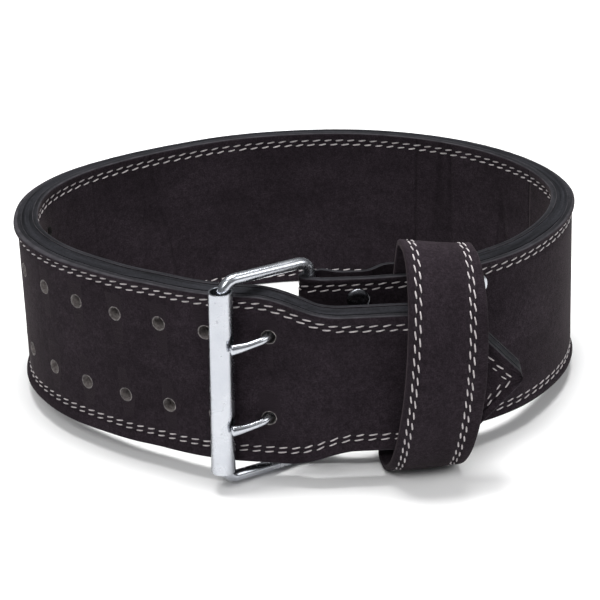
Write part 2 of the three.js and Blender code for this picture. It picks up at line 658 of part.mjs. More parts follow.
// The floor's slope where two pieces touch it, one behind the other
function floorUnder(front, back) {
  let flat = 0;
  let steep = 0.2;
  for (let round = 0; round < 40; round += 1) {
    const slope = (flat + steep) / 2;
    if (lowest(back, slope) > lowest(front, slope)) flat = slope;
    else steep = slope;
  }
  return flat;
}

// The belt rests on its inner ply's edge at the back, and in front on the buckle and the keeper
const innerPly = suedeInner();
const frameWire = buckleFrame();
const keeperLoop = keeper();
const floorSlope = floorUnder(frameWire, innerPly);
keeperLoop.translate(0, 0, lowest(frameWire, floorSlope) - lowest(keeperLoop, floorSlope));

const suedeLook = { color: 0x2b2326, roughness: 0.95, metalness: 0 };
const coreLook = { color: 0x2b2c33, roughness: 0.85, metalness: 0 };
const steelLook = { color: 0xd5d8dc, roughness: 0.22, metalness: 1 };

function piece(name, geometry, look) {
  const mesh = new THREE.Mesh(geometry, new THREE.MeshStandardMaterial(look));
  mesh.name = name;
  return mesh;
}

const belt = new THREE.Group();
belt.add(piece('suede_outer', suedeOuter(), suedeLook));
belt.add(piece('core', core(), coreLook));
belt.add(piece('suede_inner', innerPly, suedeLook));
belt.add(piece('keeper', keeperLoop, suedeLook));
belt.add(piece('buckle_frame', frameWire, steelLook));
belt.add(piece('roller', roller(), steelLook));
belt.add(piece('prong_upper', prong(HOLE_HEIGHTS[0]), steelLook));
belt.add(piece('prong_lower', prong(HOLE_HEIGHTS[1]), steelLook));
belt.add(piece('rivet_bar_upper', rivet(RIVET_FROM_BAR, RIVET_HEIGHTS[0]), steelLook));
belt.add(piece('rivet_bar_lower', rivet(RIVET_FROM_BAR, RIVET_HEIGHTS[1]), steelLook));
belt.add(piece('rivet_core_upper', rivet(secondRivets, RIVET_HEIGHTS[0]), steelLook));
belt.add(piece('rivet_core_lower', rivet(secondRivets, RIVET_HEIGHTS[1]), steelLook));

// Lean the belt back onto the floor and put the origin under the middle of its box
belt.rotation.x = -Math.atan(floorSlope);
belt.updateMatrixWorld(true);
const box = new THREE.Box3().setFromObject(belt, true);
belt.position.set(-(box.min.x + box.max.x) / 2, -(box.min.y + box.max.y) / 2, -box.min.z);

const object = new THREE.Group();
object.add(belt);
export default object;
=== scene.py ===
"""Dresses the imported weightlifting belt: smooth suede plies, seed stitches, plated buckle, light and camera.

Lengths are millimetres in the belt's own frame, where the strap stands level on its lower edge, and are
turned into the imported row's metres when a mesh is made. "length" runs along the strap's face from the
buckle's bar, round the ring and out along the tongue; "depth" is measured behind that face.
"""
import math
import random
from collections import namedtuple

import bmesh
import bpy
import numpy as np
from mathutils import Matrix, Vector


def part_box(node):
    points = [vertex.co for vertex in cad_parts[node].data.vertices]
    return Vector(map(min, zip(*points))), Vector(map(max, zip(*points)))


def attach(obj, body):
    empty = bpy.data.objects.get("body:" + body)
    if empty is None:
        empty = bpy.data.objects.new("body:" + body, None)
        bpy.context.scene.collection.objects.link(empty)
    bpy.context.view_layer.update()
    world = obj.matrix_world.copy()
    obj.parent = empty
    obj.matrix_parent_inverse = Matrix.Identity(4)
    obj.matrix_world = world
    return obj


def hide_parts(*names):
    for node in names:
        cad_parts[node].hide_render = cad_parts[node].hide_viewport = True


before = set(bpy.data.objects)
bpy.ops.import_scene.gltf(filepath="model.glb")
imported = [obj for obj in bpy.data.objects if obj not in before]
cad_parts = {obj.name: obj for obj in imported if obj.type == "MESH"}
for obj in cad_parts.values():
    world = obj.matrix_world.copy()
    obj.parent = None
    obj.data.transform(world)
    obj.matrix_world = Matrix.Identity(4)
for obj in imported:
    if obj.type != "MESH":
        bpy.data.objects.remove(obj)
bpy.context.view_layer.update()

# The belt's sizes, as in the part's source
STRAP_WIDTH = 101.6
SUEDE = 2.6
CORE = 6.2
GAP = 0.3
EDGE_SLANT = 0.9
EDGE_FLARE = 0.7
RING_WIDTH = 328
RING_DEPTH = 248
TONGUE_CLEARANCE = 14.7
TONGUE_TOE_IN = 1
TONGUE_LENGTH = 141
TONGUE_TOP_CUT = 11.6
TONGUE_TOP_FROM = -8
TONGUE_TOP_BY = 42
TONGUE_FOOT_CUT = 8
TONGUE_FOOT_FROM = 9
TONGUE_FOOT_BY = 48
POINT_ANGLE = 94
POINT_ROUND = 6
POINT_BLUNT = 1
HOLE_DIAMETER = 8.2
HOLE_FIRST_PITCH = 33.4
HOLE_PITCH = 29.9
HOLE_ROWS_APART = 50
HOLE_ROWS_RISE = 1
HOLE_LEAN = 0.08
HOLE_PAIRS = 9
BUCKLE_WIRE = 6.6
BUCKLE_RISE = 8.2
BUCKLE_DROP = 15
BUCKLE_CORNER = 8
BUCKLE_LEAN = 0.034
ROLLER_DIAMETER = 13.8
ROLLER_WALL = 1.1
ROLLER_PLAY = 1
ROLLER_END_PLAY = 1.95
ROLLER_NOTCH = 5
ROLLER_NOTCH_DEPTH = 2.4
ROLLER_NOTCH_RISE = 1.5
PRONG_WIRE = 4.8
PRONG_TIP = 6.2
PRONG_SAG = 2.5
PRONG_TIP_TURN = 18
PRONG_AHEAD = 0.9
PRONG_ASTERN = 1.1
PRONG_BEHIND = 1
PRONG_PROUD = 0.6
PRONG_ARCH = 1
PRONG_SLOT_DEEP = 1
PRONG_SLOT_PLAY = 0.8
LEAF_APART = 2.4
LEAF_CLOSES_FROM = 4
LEAF_CLOSES_BY = 20
LEAF_PARTS_EARLY = 1
LEAF_PARTS_LATE = 4
LEAF_MARGIN = 2
RIVET_CAP = 13
RIVET_BACK_CAP = 10
RIVET_CAP_HEIGHT = 2
RIVET_SHANK = 4
RIVET_ROWS_APART = 75
RIVET_FROM_BAR = 28
KEEPER_WIDTH = 45
KEEPER_THICKNESS = 3.4
KEEPER_RISE = 16.4
KEEPER_CROWN = 8
KEEPER_BULGE = 38.5
KEEPER_FROM_BAR = 64.5
KEEPER_LEAN = 0.1
KEEPER_SWAY = 0.06
KEEPER_SKEW = 0.03
KEEPER_FRONT_POWER = 1.9
KEEPER_BACK_POWER = 8
KEEPER_CLEAR = 2
END_LEAN_FADES = 36
BAR_BEARING = 1.6
TONGUE_LIFTS = 32
TONGUE_LIFTING = 36
ROLLER_SHORT = 14.6
PRONGS_SHORT = 7.8

# Sewing
SEAM_INSET = 4.1                # outer row of stitches, from the strap's upper edge
TONGUE_SEAM_INSET = 6.1         # the same along the tongue
FOOT_SEAM_INSET = 4.5           # from the lower edge
POINT_SEAM_INSET = 4.6          # from the point's upper edge
POINT_FOOT_INSET = 3.4          # and from its lower edge
INNER_SEAM_INSET = 5.2          # on the ring's inside
FOOT_HANG = 2.4                 # how much lower the worn lower edge hangs in front
FOOT_HANG_FROM = -190           # from and by these lengths past the prongs
FOOT_HANG_BY = -120
TONGUE_SEAM_LATE = 20           # the tongue's upper seam moves in this much later than its cut edge
SEAM_ROWS_APART = 2.9
SEAM_PINCH = 0.55
RIM_THICK = 0.34                # a punched hole's frayed rim
PLY_SQUEEZE = 0.16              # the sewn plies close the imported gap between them
STITCH_PITCH = 7.4
STITCH_LENGTH = 5.0
STITCH_WIDTH = 0.88
THREAD_PROUD = 0.3              # the thread's middle over the pinched seam
# The needle holes' near-black colour is painted shade
NEEDLE_HOLE = 2.3               # the dark dent between two stitches
STITCH_SLANT = 10               # degrees off the row, as a lock stitch pulls it
KEEPER_SEAM_INSET = 5.4
KEEPER_ROWS_APART = 2.8
KEEPER_SLUMP = 0.065            # the worn loop's front hangs back towards the buckle, per mm of bulge
KEEPER_SPREAD = 2.5             # and is this much wider beyond its right seam
KEEPER_NARROW = 2.1             # while its left side is drawn in
KEEPER_DRIFT = 1.3              # its seams wander left at the front, the left one more
KEEPER_DRIFT_MORE = 0.6
KEEPER_BORDER = 4.5             # this far in from its edges they wander fully
PRONG_OVER_TURN = 36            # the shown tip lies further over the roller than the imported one

# Camera, in the belt's own frame
CAMERA_FROM_CENTRE = 1281
CAMERA_HEIGHT = 614.8
CAMERA_PITCH = 24.323           # degrees down from level
CAMERA_ROLL = -2.202
CAMERA_FOCAL = 2300.85          # pixels of a 600 pixel frame
IMAGE_SIDE = 600
SENSOR = 36
FLOOR_SLOPE = 0.05989           # rise of the floor towards the back, in the belt's own frame

FLOW_DEPTH = 100                # added to a ply's own depth in the flow that materials read

WALL = 2 * SUEDE + CORE + 2 * GAP
MIDDLE = STRAP_WIDTH / 2
BAR_RADIUS = BUCKLE_WIRE / 2
ROLLER_RADIUS = ROLLER_DIAMETER / 2
HOLE_HEIGHTS = [MIDDLE + HOLE_ROWS_RISE + side * HOLE_ROWS_APART / 2 for side in (1, -1)]
RIVET_HEIGHTS = [MIDDLE + side * RIVET_ROWS_APART / 2 for side in (1, -1)]
BUCKLE_HEIGHT = STRAP_WIDTH + BUCKLE_RISE + BUCKLE_DROP - BAR_RADIUS
ROLLER_LENGTH = BUCKLE_HEIGHT - BUCKLE_WIRE - 2 * ROLLER_END_PLAY
KEEPER_HEIGHT = STRAP_WIDTH + KEEPER_RISE + BUCKLE_DROP

# The ring's outline from above, at every 15 degrees from the front towards the right, as a share of an
# ellipse, and how many times the usual flare the rim splays there
OUTLINE_REACH = [
    0.946, 0.978, 1.03, 1.038, 1.02, 1.008, 1.004, 0.994, 0.991, 0.996, 1.003, 1.008,
    1, 0.992, 0.978, 0.986, 1.008, 1.02, 1.018, 1.022, 1.018, 1.016, 1.037, 1.02,
]
OUTLINE_SPLAY = [1, 1, 1, 1, 1.5, 2, 2, 2, 1.5, 1, 1, 1, 1, 1, 1, 2, 3, 3, 3, 3.5, 4, 3, 1.5, 1]

Crease = namedtuple("Crease", "bearing width depth")
INNER_CREASES = [
    Crease(262, 3.0, 0.6), Crease(267, 2.5, 0.8), Crease(272, 2.5, 0.8), Crease(277, 3.0, 0.6),
    Crease(171, 4.0, 0.9), Crease(163, 3.0, 0.4), Crease(154, 3.5, 0.35), Crease(146, 3.0, 0.3),
    Crease(196, 4.0, 0.3), Crease(214, 3.5, 0.35),
]


def added(name, data):
    thing = bpy.data.objects.new(name, data)
    bpy.context.scene.collection.objects.link(thing)
    return thing


def smooth(low, high, x):
    t = min(max((x - low) / (high - low), 0), 1)
    return t * t * (3 - 2 * t)


def unit(vector):
    return vector / np.linalg.norm(vector)


def turned(vector, degrees):
    angle = math.radians(degrees)
    c, s = math.cos(angle), math.sin(angle)
    return np.array([c * vector[0] - s * vector[1], s * vector[0] + c * vector[1]])


def right_of(v):
    return np.array([v[1], -v[0]])


def left_of(v):
    return np.array([-v[1], v[0]])


def run_of(points):
    """The length run at each of a line's points."""
    return np.concatenate([[0], np.cumsum(np.linalg.norm(np.diff(points, axis=0), axis=1))])


def between(s, run, rows):
    """The rows' values at s, where they are given at the run's lengths."""
    return np.array([np.interp(s, run, rows[:, axis]) for axis in range(rows.shape[1])])


def circle(sides):
    angles = [2 * math.pi * side / sides for side in range(sides)]
    return [(math.cos(angle), math.sin(angle)) for angle in angles]


# The strap's face seen from above


def outline_at(values, bearing):
    rows = len(values)
    place = (bearing % 360) * rows / 360
    first = int(place)
    u = place - first
    before, a, b, after = (values[(first + step) % rows] for step in (-1, 0, 1, 2))
    rise, fall = (b - before) / 2, (after - a) / 2
    return a + u * (rise + u * (3 * (b - a) - 2 * rise - fall + u * (2 * (a - b) + rise + fall)))


def ring_point(bearing):
    reach = outline_at(OUTLINE_REACH, bearing)
    angle = math.radians(bearing)
    return reach * np.array([RING_WIDTH / 2 * math.sin(angle), -RING_DEPTH / 2 * math.cos(angle)])


def ring_normal(bearing):
    return right_of(unit(ring_point(bearing + 0.5) - ring_point(bearing - 0.5)))


def cross(a, b):
    return a[0] * b[1] - a[1] * b[0]


def face_point(bearing):
    point = ring_point(bearing)
    leaves = 360 - TONGUE_LIFTS
    leaving = smooth(leaves, leaves + TONGUE_LIFTING, bearing)
    if leaving == 0:
        return point
    foot = ring_point(0) - np.array([0, WALL + TONGUE_CLEARANCE])
    toe_in = math.radians(TONGUE_TOE_IN)
    run = np.array([math.cos(toe_in), math.sin(toe_in)])
    normal = ring_normal(bearing)
    return point + leaving * cross(foot - point, run) / cross(normal, run) * normal


bearings = np.arange(BAR_BEARING, 420, 0.25)
face_points = np.array([face_point(bearing) for bearing in bearings])
face_lengths = run_of(face_points)


def length_at(bearing):
    return float(np.interp(bearing, bearings, face_lengths))


def bearing_at(length):
    return float(np.interp(length, face_lengths, bearings))


def face(length):
    return between(length, face_lengths, face_points)


def normal_at(length):
    return right_of(unit(face(length + 3) - face(max(length - 3, 0))))


def tangent_at(length):
    return left_of(normal_at(length))


def behind(length, depth):
    return face(length) - depth * normal_at(length)


prong_length = length_at(360 - PRONGS_SHORT)
tip_length = prong_length + TONGUE_LENGTH
roller_length = length_at(360 - ROLLER_SHORT)
core_start = KEEPER_FROM_BAR + KEEPER_WIDTH / 2 + KEEPER_CLEAR
second_rivets = core_start + KEEPER_LEAN * RIVET_ROWS_APART / 2 + RIVET_SHANK / 2 + KEEPER_CLEAR
leaf_end = second_rivets + RIVET_BACK_CAP / 2 + LEAF_MARGIN
fold_depth = SUEDE + GAP + BAR_RADIUS
bar_axis = behind(0, fold_depth)
buckle_run = tangent_at(roller_length) * BUCKLE_LEAN
roller_axis = behind(roller_length, -(ROLLER_RADIUS + EDGE_FLARE + GAP))


def foot_hang(length):
    """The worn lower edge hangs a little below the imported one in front, on the left and along the tongue."""
    return FOOT_HANG * smooth(FOOT_HANG_FROM, FOOT_HANG_BY, length - prong_length)


def edges_at(length):
    """The strap's lower and upper edge at a length."""
    past = length - prong_length
    top = STRAP_WIDTH - TONGUE_TOP_CUT * smooth(TONGUE_TOP_FROM, TONGUE_TOP_BY, past)
    foot = TONGUE_FOOT_CUT * smooth(TONGUE_FOOT_FROM, TONGUE_FOOT_BY, past) - foot_hang(length)
    left = max(tip_length - length, 0)
    slope = math.tan(math.radians(POINT_ANGLE / 2))
    lead = POINT_ROUND * (math.hypot(1, slope) - slope)
    half = left * slope + min(lead + POINT_BLUNT, POINT_BLUNT + 2 * left)
    middle = (top + foot) / 2
    return max(foot, middle - half), min(top, middle + half)


def leaf_depth(length):
    at_rivets = SUEDE + LEAF_APART + SUEDE / 2
    at_core = WALL + EDGE_FLARE + GAP + SUEDE / 2
    at_bar = fold_depth + GAP + BAR_RADIUS + SUEDE / 2
    near = at_bar + (at_rivets - at_bar) * smooth(LEAF_CLOSES_FROM, LEAF_CLOSES_BY, length)
    clear_of_rivet = RIVET_FROM_BAR + RIVET_BACK_CAP / 2 - LEAF_PARTS_EARLY
    under_keeper = KEEPER_FROM_BAR - KEEPER_WIDTH / 2 + LEAF_PARTS_LATE
    share = smooth(clear_of_rivet, under_keeper, length)
    return near + (at_core - near) * share


def fold_lean(length):
    fade = 1 - smooth(0, RIVET_FROM_BAR - RIVET_CAP / 2, length)
    return buckle_run * fade


def end_lean(length):
    fade = 1 - smooth(core_start, core_start + END_LEAN_FADES, length)
    return tangent_at(length) * KEEPER_LEAN * fade


def leaned(plan, z):
    """A point of the buckle, which leans along the strap."""
    return np.array([*(plan + buckle_run * (z - MIDDLE)), z])


# From the belt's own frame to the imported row


def box_centre(node):
    low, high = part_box(node)
    return (low + high) / 2


to_row = Matrix.Rotation(-math.atan(FLOOR_SLOPE), 4, "X") @ Matrix.Scale(0.001, 4)
roller_middle = BAR_RADIUS - BUCKLE_DROP + BUCKLE_HEIGHT / 2
roller_middle += BUCKLE_LEAN * float(np.linalg.norm(roller_axis - bar_axis))
roller_centre = Vector(leaned(roller_axis, roller_middle))
to_row = Matrix.Translation(box_centre("roller") - to_row @ roller_centre) @ to_row


# Camera

camera_data = bpy.data.cameras.new("camera")
camera_data.sensor_width = SENSOR
camera_data.lens = CAMERA_FOCAL * SENSOR / IMAGE_SIDE
camera = added("camera", camera_data)
bpy.context.scene.camera = camera
pitch, roll = math.radians(CAMERA_PITCH), math.radians(CAMERA_ROLL)
tilt = Matrix.Rotation(math.pi / 2 - pitch, 4, "X") @ Matrix.Rotation(roll, 4, "Z")
stand = Matrix.Translation((0, -CAMERA_FROM_CENTRE, CAMERA_HEIGHT))
placed = to_row @ stand @ tilt
camera.matrix_world = Matrix.LocRotScale(placed.translation, placed.to_quaternion(), None)
camera_data.clip_end = 20


# Materials


class Nodes:
    """A short way to write a shader's nodes, placed along the strap or else in the object's space."""

    def __init__(self, name, along=False):
        self.material = bpy.data.materials.new(name)
        self.material.use_nodes = True
        self.tree = self.material.node_tree
        self.shader = self.tree.nodes["Principled BSDF"]
        if along:
            flow = self.tree.nodes.new("ShaderNodeAttribute")
            flow.attribute_name = "flow"
            self.place = flow.outputs["Vector"]
        else:
            coordinates = self.tree.nodes.new("ShaderNodeTexCoord")
            self.place = coordinates.outputs["Object"]

    def feed(self, socket, value):
        if isinstance(value, bpy.types.NodeSocket):
            self.tree.links.new(value, socket)
        else:
            socket.default_value = value

    def add(self, kind, inputs=(), **settings):
        node = self.tree.nodes.new(kind)
        for name, value in settings.items():
            setattr(node, name, value)
        for name, value in dict(inputs).items():
            self.feed(node.inputs[name], value)
        return node

    def stretched(self, scale):
        return self.add("ShaderNodeMapping", {"Vector": self.place, "Scale": scale}).outputs[0]

    def noise(self, scale, detail=4, roughness=0.6, vector=None):
        inputs = {"Vector": vector or self.place, "Scale": scale, "Detail": detail, "Roughness": roughness}
        return self.add("ShaderNodeTexNoise", inputs).outputs["Fac"]

    def ramp(self, value, *stops):
        node = self.add("ShaderNodeValToRGB", {"Fac": value})
        ramp = node.color_ramp
        while len(ramp.elements) < len(stops):
            ramp.elements.new(0.5)
        for element, (position, colour) in zip(ramp.elements, stops):
            element.position = position
            element.color = (*colour, 1) if len(colour) == 3 else colour
        return node.outputs["Color"]

    def mix(self, share, a, b, blend="MIX"):
        node = self.add("ShaderNodeMix", data_type="RGBA", blend_type=blend)
        for index, value in ((0, share), (6, a), (7, b)):
            self.feed(node.inputs[index], value)
        return node.outputs[2]

    def tinted(self, share, colour, value, low, high):
        """A colour multiplied by a grey that follows a value; low and high are (value, grey)."""
        shade = self.ramp(value, (low[0], grey(low[1])), (high[0], grey(high[1])))
        return self.mix(share, colour, shade, "MULTIPLY")

    def linked(self, name):
        return self.shader.inputs[name].links[0].from_socket

    def set(self, name, value):
        self.feed(self.shader.inputs[name], value)

    def bump(self, height, distance, strength=1, under=None):
        inputs = {"Height": height, "Distance": distance, "Strength": strength}
        if under is not None:
            inputs["Normal"] = under
        return self.add("ShaderNodeBump", inputs).outputs[0]


def grey(value):
    return (value, value, value)


def suede_nodes(name, worn=1):
    """Dyed suede: faint clouds, long brushed streaks and a fine nap."""
    nodes = Nodes(name, along=True)
    clouds = nodes.noise(34, 5, 0.62)
    brushed = nodes.noise(60, 4, 0.6, nodes.stretched((0.25, 1, 1)))
    grain = nodes.noise(420, 4, 0.75)
    nap = nodes.noise(1300, 2, 0.6)
    colour = nodes.ramp(clouds, (0.3, (0.0128, 0.0096, 0.0122)), (0.7, (0.0195, 0.0148, 0.0186)))
    colour = nodes.tinted(0.5, colour, brushed, (0.3, 0.7), (0.7, 1.3))
    colour = nodes.tinted(0.8, colour, grain, (0.32, 0.6), (0.68, 1.45))
    colour = nodes.tinted(0.7, colour, nap, (0.35, 0.55), (0.68, 1.55))
    if worn != 1:
        colour = nodes.mix(1.0, colour, (*grey(worn), 1), "MULTIPLY")
    nodes.set("Base Color", colour)
    nodes.set("Roughness", 0.95)
    nodes.set("Specular IOR Level", 0.06)
    nodes.set("Sheen Weight", 0.045)
    nodes.set("Sheen Roughness", 0.4)
    nodes.set("Sheen Tint", (1, 0.86, 0.84, 1))
    coarse = nodes.bump(grain, 0.0004, 0.45)
    nodes.set("Normal", nodes.bump(nap, 0.00025, 0.6, coarse))
    return nodes


def inside_material():
    """The ring's inside: the same suede, with upright wrinkles where it was bent, bumped and also darkened
    along their lines as painted shade.
    """
    nodes = suede_nodes("suede_inside")
    bent = nodes.noise(17, 2, 0.45, nodes.stretched((1, 0, 0.1)))
    line = nodes.ramp(bent, (0.475, grey(1)), (0.487, grey(0)), (0.499, grey(1)))
    where = nodes.noise(7, 1, 0.5, nodes.stretched((1, 0, 0.3)))
    depth = nodes.ramp(where, (0.4, grey(0)), (0.58, grey(1)))
    line = nodes.mix(depth, (1, 1, 1, 1), line)
    nodes.set("Normal", nodes.bump(line, 0.001, 0.5, nodes.linked("Normal")))
    # painted shade: the colour darkened along the wrinkle lines
    nodes.set("Base Color", nodes.tinted(0.5, nodes.linked("Base Color"), line, (0, 0.35), (1, 1)))
    return nodes.material


def edge_material(name, dark, light, gloss):
    """Dyed cut edge: fibres drawn along the strap, with scuffed specks."""
    nodes = Nodes(name, along=True)
    streaks = nodes.noise(300, 5, 0.65, nodes.stretched((0.06, 1.6, 1)))
    patches = nodes.noise(45, 4, 0.6)
    specks = nodes.noise(650, 3, 0.7)
    colour = nodes.ramp(streaks, (0.34, dark), (0.7, light))
    colour = nodes.tinted(0.6, colour, patches, (0.3, 0.65), (0.7, 1.4))
    colour = nodes.tinted(0.7, colour, specks, (0.35, 0.6), (0.72, 1.6))
    nodes.set("Base Color", colour)
    nodes.set("Roughness", nodes.ramp(streaks, (0.3, grey(gloss)), (0.7, grey(gloss + 0.2))))
    nodes.set("Specular IOR Level", 0.08)
    nodes.set("Normal", nodes.bump(streaks, 0.0005, 0.5, nodes.bump(specks, 0.0002, 0.5)))
    return nodes


def rim_lines(nodes):
    """Paler fibres where a suede ply meets the core and at its worn rim, told by the flow's depth."""
    depth = nodes.add("ShaderNodeSeparateXYZ", {"Vector": nodes.place}).outputs["Y"]
    depth = nodes.add("ShaderNodeMath", {0: depth}, operation="ABSOLUTE").outputs[0]
    low, high = FLOW_DEPTH - SUEDE / 2, FLOW_DEPTH + SUEDE / 2
    settings = {"Value": depth, "From Min": low / 1000, "From Max": high / 1000}
    share = nodes.add("ShaderNodeMapRange", settings).outputs[0]
    pale = nodes.ramp(share, (0, grey(1)), (0.14, grey(0)), (0.86, grey(0)), (1, grey(0.8)))
    broken = nodes.ramp(nodes.noise(120, 4, 0.6), (0.35, grey(0.2)), (0.65, grey(1)))
    share = nodes.mix(1.0, pale, broken, "MULTIPLY")
    nodes.set("Base Color", nodes.mix(share, nodes.linked("Base Color"), (0.05, 0.047, 0.053, 1)))
    return nodes.material


def raw_leather_material(name, dark, light):
    nodes = Nodes(name)
    fibre = nodes.noise(500, 4, 0.7)
    nodes.set("Base Color", nodes.ramp(fibre, (0.3, dark), (0.7, light)))
    nodes.set("Roughness", 0.9)
    nodes.set("Normal", nodes.bump(fibre, 0.0003, 0.7))
    return nodes.material


def thread_material():
    nodes = Nodes("thread")
    twist = nodes.noise(900, 3, 0.6)
    nodes.set("Base Color", nodes.ramp(twist, (0.3, (0.3, 0.27, 0.275)), (0.7, (0.56, 0.52, 0.525))))
    nodes.set("Roughness", 0.55)
    nodes.set("Normal", nodes.bump(twist, 0.0002, 0.6))
    return nodes.material


def steel_material(name, painted_shade=1):
    """Bright plating with faint smears and a few dull spots. A tone below 1 darkens the whole plating as
    painted shade.
    """
    nodes = Nodes(name)
    smears = nodes.noise(60, 4, 0.6)
    dull = nodes.noise(210, 3, 0.6)
    colour = nodes.ramp(smears, (0.3, (0.4, 0.415, 0.45)), (0.7, (0.48, 0.495, 0.525)))
    colour = nodes.tinted(1.0, colour, dull, (0.26, 0.72), (0.34, 1))
    # painted shade: the plating darkened as a whole, for parts that sit in shade
    if painted_shade != 1:
        colour = nodes.mix(1.0, colour, (*grey(painted_shade), 1), "MULTIPLY")
    nodes.set("Base Color", colour)
    nodes.set("Metallic", 1)
    nodes.set("Roughness", nodes.ramp(smears, (0.25, grey(0.2)), (0.75, grey(0.33))))
    nodes.set("Normal", nodes.bump(smears, 0.0003, 0.1))
    return nodes.material


suede = suede_nodes("suede").material
keeper_rim = suede_nodes("keeper_rim", 1.35).material
suede_inside = inside_material()
suede_edge = rim_lines(edge_material("suede_edge", (0.0055, 0.0056, 0.0068), (0.025, 0.0248, 0.0285), 0.65))
core_edge = edge_material("core_edge", (0.0036, 0.0038, 0.0048), (0.021, 0.0213, 0.0255), 0.6).material
hole_wall = raw_leather_material("hole_wall", (0.07, 0.062, 0.06), (0.3, 0.272, 0.262))
# The same raw leather darkened as painted shade, for the walls deep in the inner ply's holes
shaded_hole_wall = raw_leather_material("shaded_hole_wall", (0.012, 0.011, 0.011), (0.05, 0.045, 0.045))
# Pale raw leather for the holes' rims, partly a painted highlight
raw_rim_and_highlight = raw_leather_material("raw_rim_and_highlight", (0.05, 0.045, 0.045), (0.3, 0.275, 0.27))
# Near-black needle holes: painted shade of the holes and the pinched seam
needle_hole_shade = raw_leather_material("needle_hole_shade", (0.0015, 0.0013, 0.0015), (0.006, 0.005, 0.006))
thread = thread_material()
steel = steel_material("plated")
# The bar rivets' plating, darkened as painted shade and painted dark reflection for the shade behind the
# tongue
shaded_steel = steel_material("plated_painted_shade", 0.42)


# Meshes


def make(name, vertices, faces, materials, picks=None, sharp=38, flow=None):
    """A closed mesh of the belt's own millimetres. flow is each vertex's place along the strap."""
    mesh = bpy.data.meshes.new(name)
    mesh.from_pydata([tuple(to_row @ Vector(vertex)) for vertex in vertices], [], faces)
    for material in materials:
        mesh.materials.append(material)
    if picks is not None:
        mesh.polygons.foreach_set("material_index", picks)
    if flow is not None:
        places = mesh.attributes.new("flow", "FLOAT_VECTOR", "POINT")
        places.data.foreach_set("vector", np.asarray(flow, float).ravel() / 1000)
    turn_out(mesh)
    mesh.shade_smooth()
    mesh.set_sharp_from_angle(angle=math.radians(sharp))
    piece = added(name, mesh)
    return piece


def turn_out(mesh):
    work = bmesh.new()
    work.from_mesh(mesh)
    bmesh.ops.recalc_face_normals(work, faces=work.faces)
    work.to_mesh(mesh)
    work.free()


def loft_faces(rings, sides, closed):
    faces = []
    spans = rings if closed else rings - 1
    for ring in range(spans):
        after = (ring + 1) % rings
        for side in range(sides):
            next_side = (side + 1) % sides
            faces.append((ring * sides + side, ring * sides + next_side,
                          after * sides + next_side, after * sides + side))
    if not closed:
        faces.append(tuple(reversed(range(sides))))
        faces.append(tuple(range((rings - 1) * sides, rings * sides)))
    return faces


def shifted(faces, base):
    return [tuple(base + index for index in face) for face in faces]


def cut_out(piece, cutters):
    """Takes the cutters' shapes out of a piece; the cut walls keep the cutters' material."""
    tool = join_meshes("cutters", cutters)
    modifier = piece.modifiers.new("holes", "BOOLEAN")
    modifier.operation = "DIFFERENCE"
    modifier.solver = "MANIFOLD"
    modifier.object = tool
    modifier.material_mode = "TRANSFER"
    graph = bpy.context.evaluated_depsgraph_get()
    result = bpy.data.meshes.new_from_object(piece.evaluated_get(graph))
    piece.modifiers.clear()
    piece.data = result
    bpy.data.objects.remove(tool)
    result.shade_smooth()
    result.set_sharp_from_angle(angle=math.radians(38))


def join_meshes(name, pieces):
    joined = bmesh.new()
    for piece in pieces:
        joined.from_mesh(piece.data)
    mesh = bpy.data.meshes.new(name)
    joined.to_mesh(mesh)
    joined.free()
    for material in pieces[0].data.materials:
        mesh.materials.append(material)
    for piece in pieces:
        bpy.data.objects.remove(piece)
    return added(name, mesh)


def drum(length, height, radius, sides=40, material=None):
    """A closed drum with its axis level, square through the whole strap."""
    axis = np.array([*normal_at(length), 0])
    across = np.array([*tangent_at(length), 0])
    centre = np.array([*face(length), height])
    vertices = []
    for reach in (-2 * WALL, WALL):
        for c, s in circle(sides):
            vertices.append(centre + reach * axis + radius * (c * across + s * np.array([0, 0, 1])))
    return make("drum", vertices, loft_faces(2, sides, False), [material or hole_wall])


def hole_places():
    for pair in range(HOLE_PAIRS):
        onward = HOLE_FIRST_PITCH + (pair - 1) * HOLE_PITCH if pair else 0
        lean = HOLE_LEAN if pair else -BUCKLE_LEAN
        for height in HOLE_HEIGHTS:
            yield prong_length - onward - lean * (height - MIDDLE), height


def hole_cutters(material=None):
    return [drum(length, height, HOLE_DIAMETER / 2, material=material)
            for length, height in hole_places()]


def hole_rims():
    """The punched mouths' paler, frayed rims on the strap's face: raw leather whose pale colour is partly a
    painted highlight.
    """
    generator = random.Random(5)
    vertices, faces = [], []
    turns, sides = 36, 5
    for length, height in hole_places():
        out = np.array([*normal_at(length), 0])
        across = np.array([*left_of(out), 0])
        up = np.array([0, 0, 1])
        centre = np.array([*face(length), height])
        base = len(vertices)
        for c, s in circle(turns):
            away = c * across + s * up
            thick = RIM_THICK * generator.uniform(0.35, 1.25)
            middle = centre + away * (HOLE_DIAMETER / 2 + generator.uniform(-0.1, 0.1)) - out * thick * 0.45
            vertices += [middle + thick * (x * away + y * out) for x, y in circle(sides)]
        faces += shifted(loft_faces(turns, sides, True), base)
    piece = make("hole_rims", vertices, faces, [raw_rim_and_highlight], sharp=80)
    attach(piece, "root")


def rivet_cutters(lengths):
    return [drum(length, height, RIVET_SHANK / 2 + GAP, 20)
            for length in lengths for height in RIVET_HEIGHTS]


# Plies

Station = namedtuple("Station", "plan length lean flare slant")


def slant_at(depth):
    return EDGE_SLANT * (2 * min(max(depth / WALL, 0), 1) - 1)


def seam_insets(length, side):
    """The outer row's distance from the lower and the upper edge; side is -1 on the ring's inside."""
    foot_inset = FOOT_SEAM_INSET + foot_hang(length)
    if side < 0:
        return foot_inset, INNER_SEAM_INSET
    on_tongue = smooth(TONGUE_TOP_FROM, TONGUE_TOP_BY + TONGUE_SEAM_LATE, length - prong_length)
    return foot_inset, SEAM_INSET + (TONGUE_SEAM_INSET - SEAM_INSET) * on_tongue


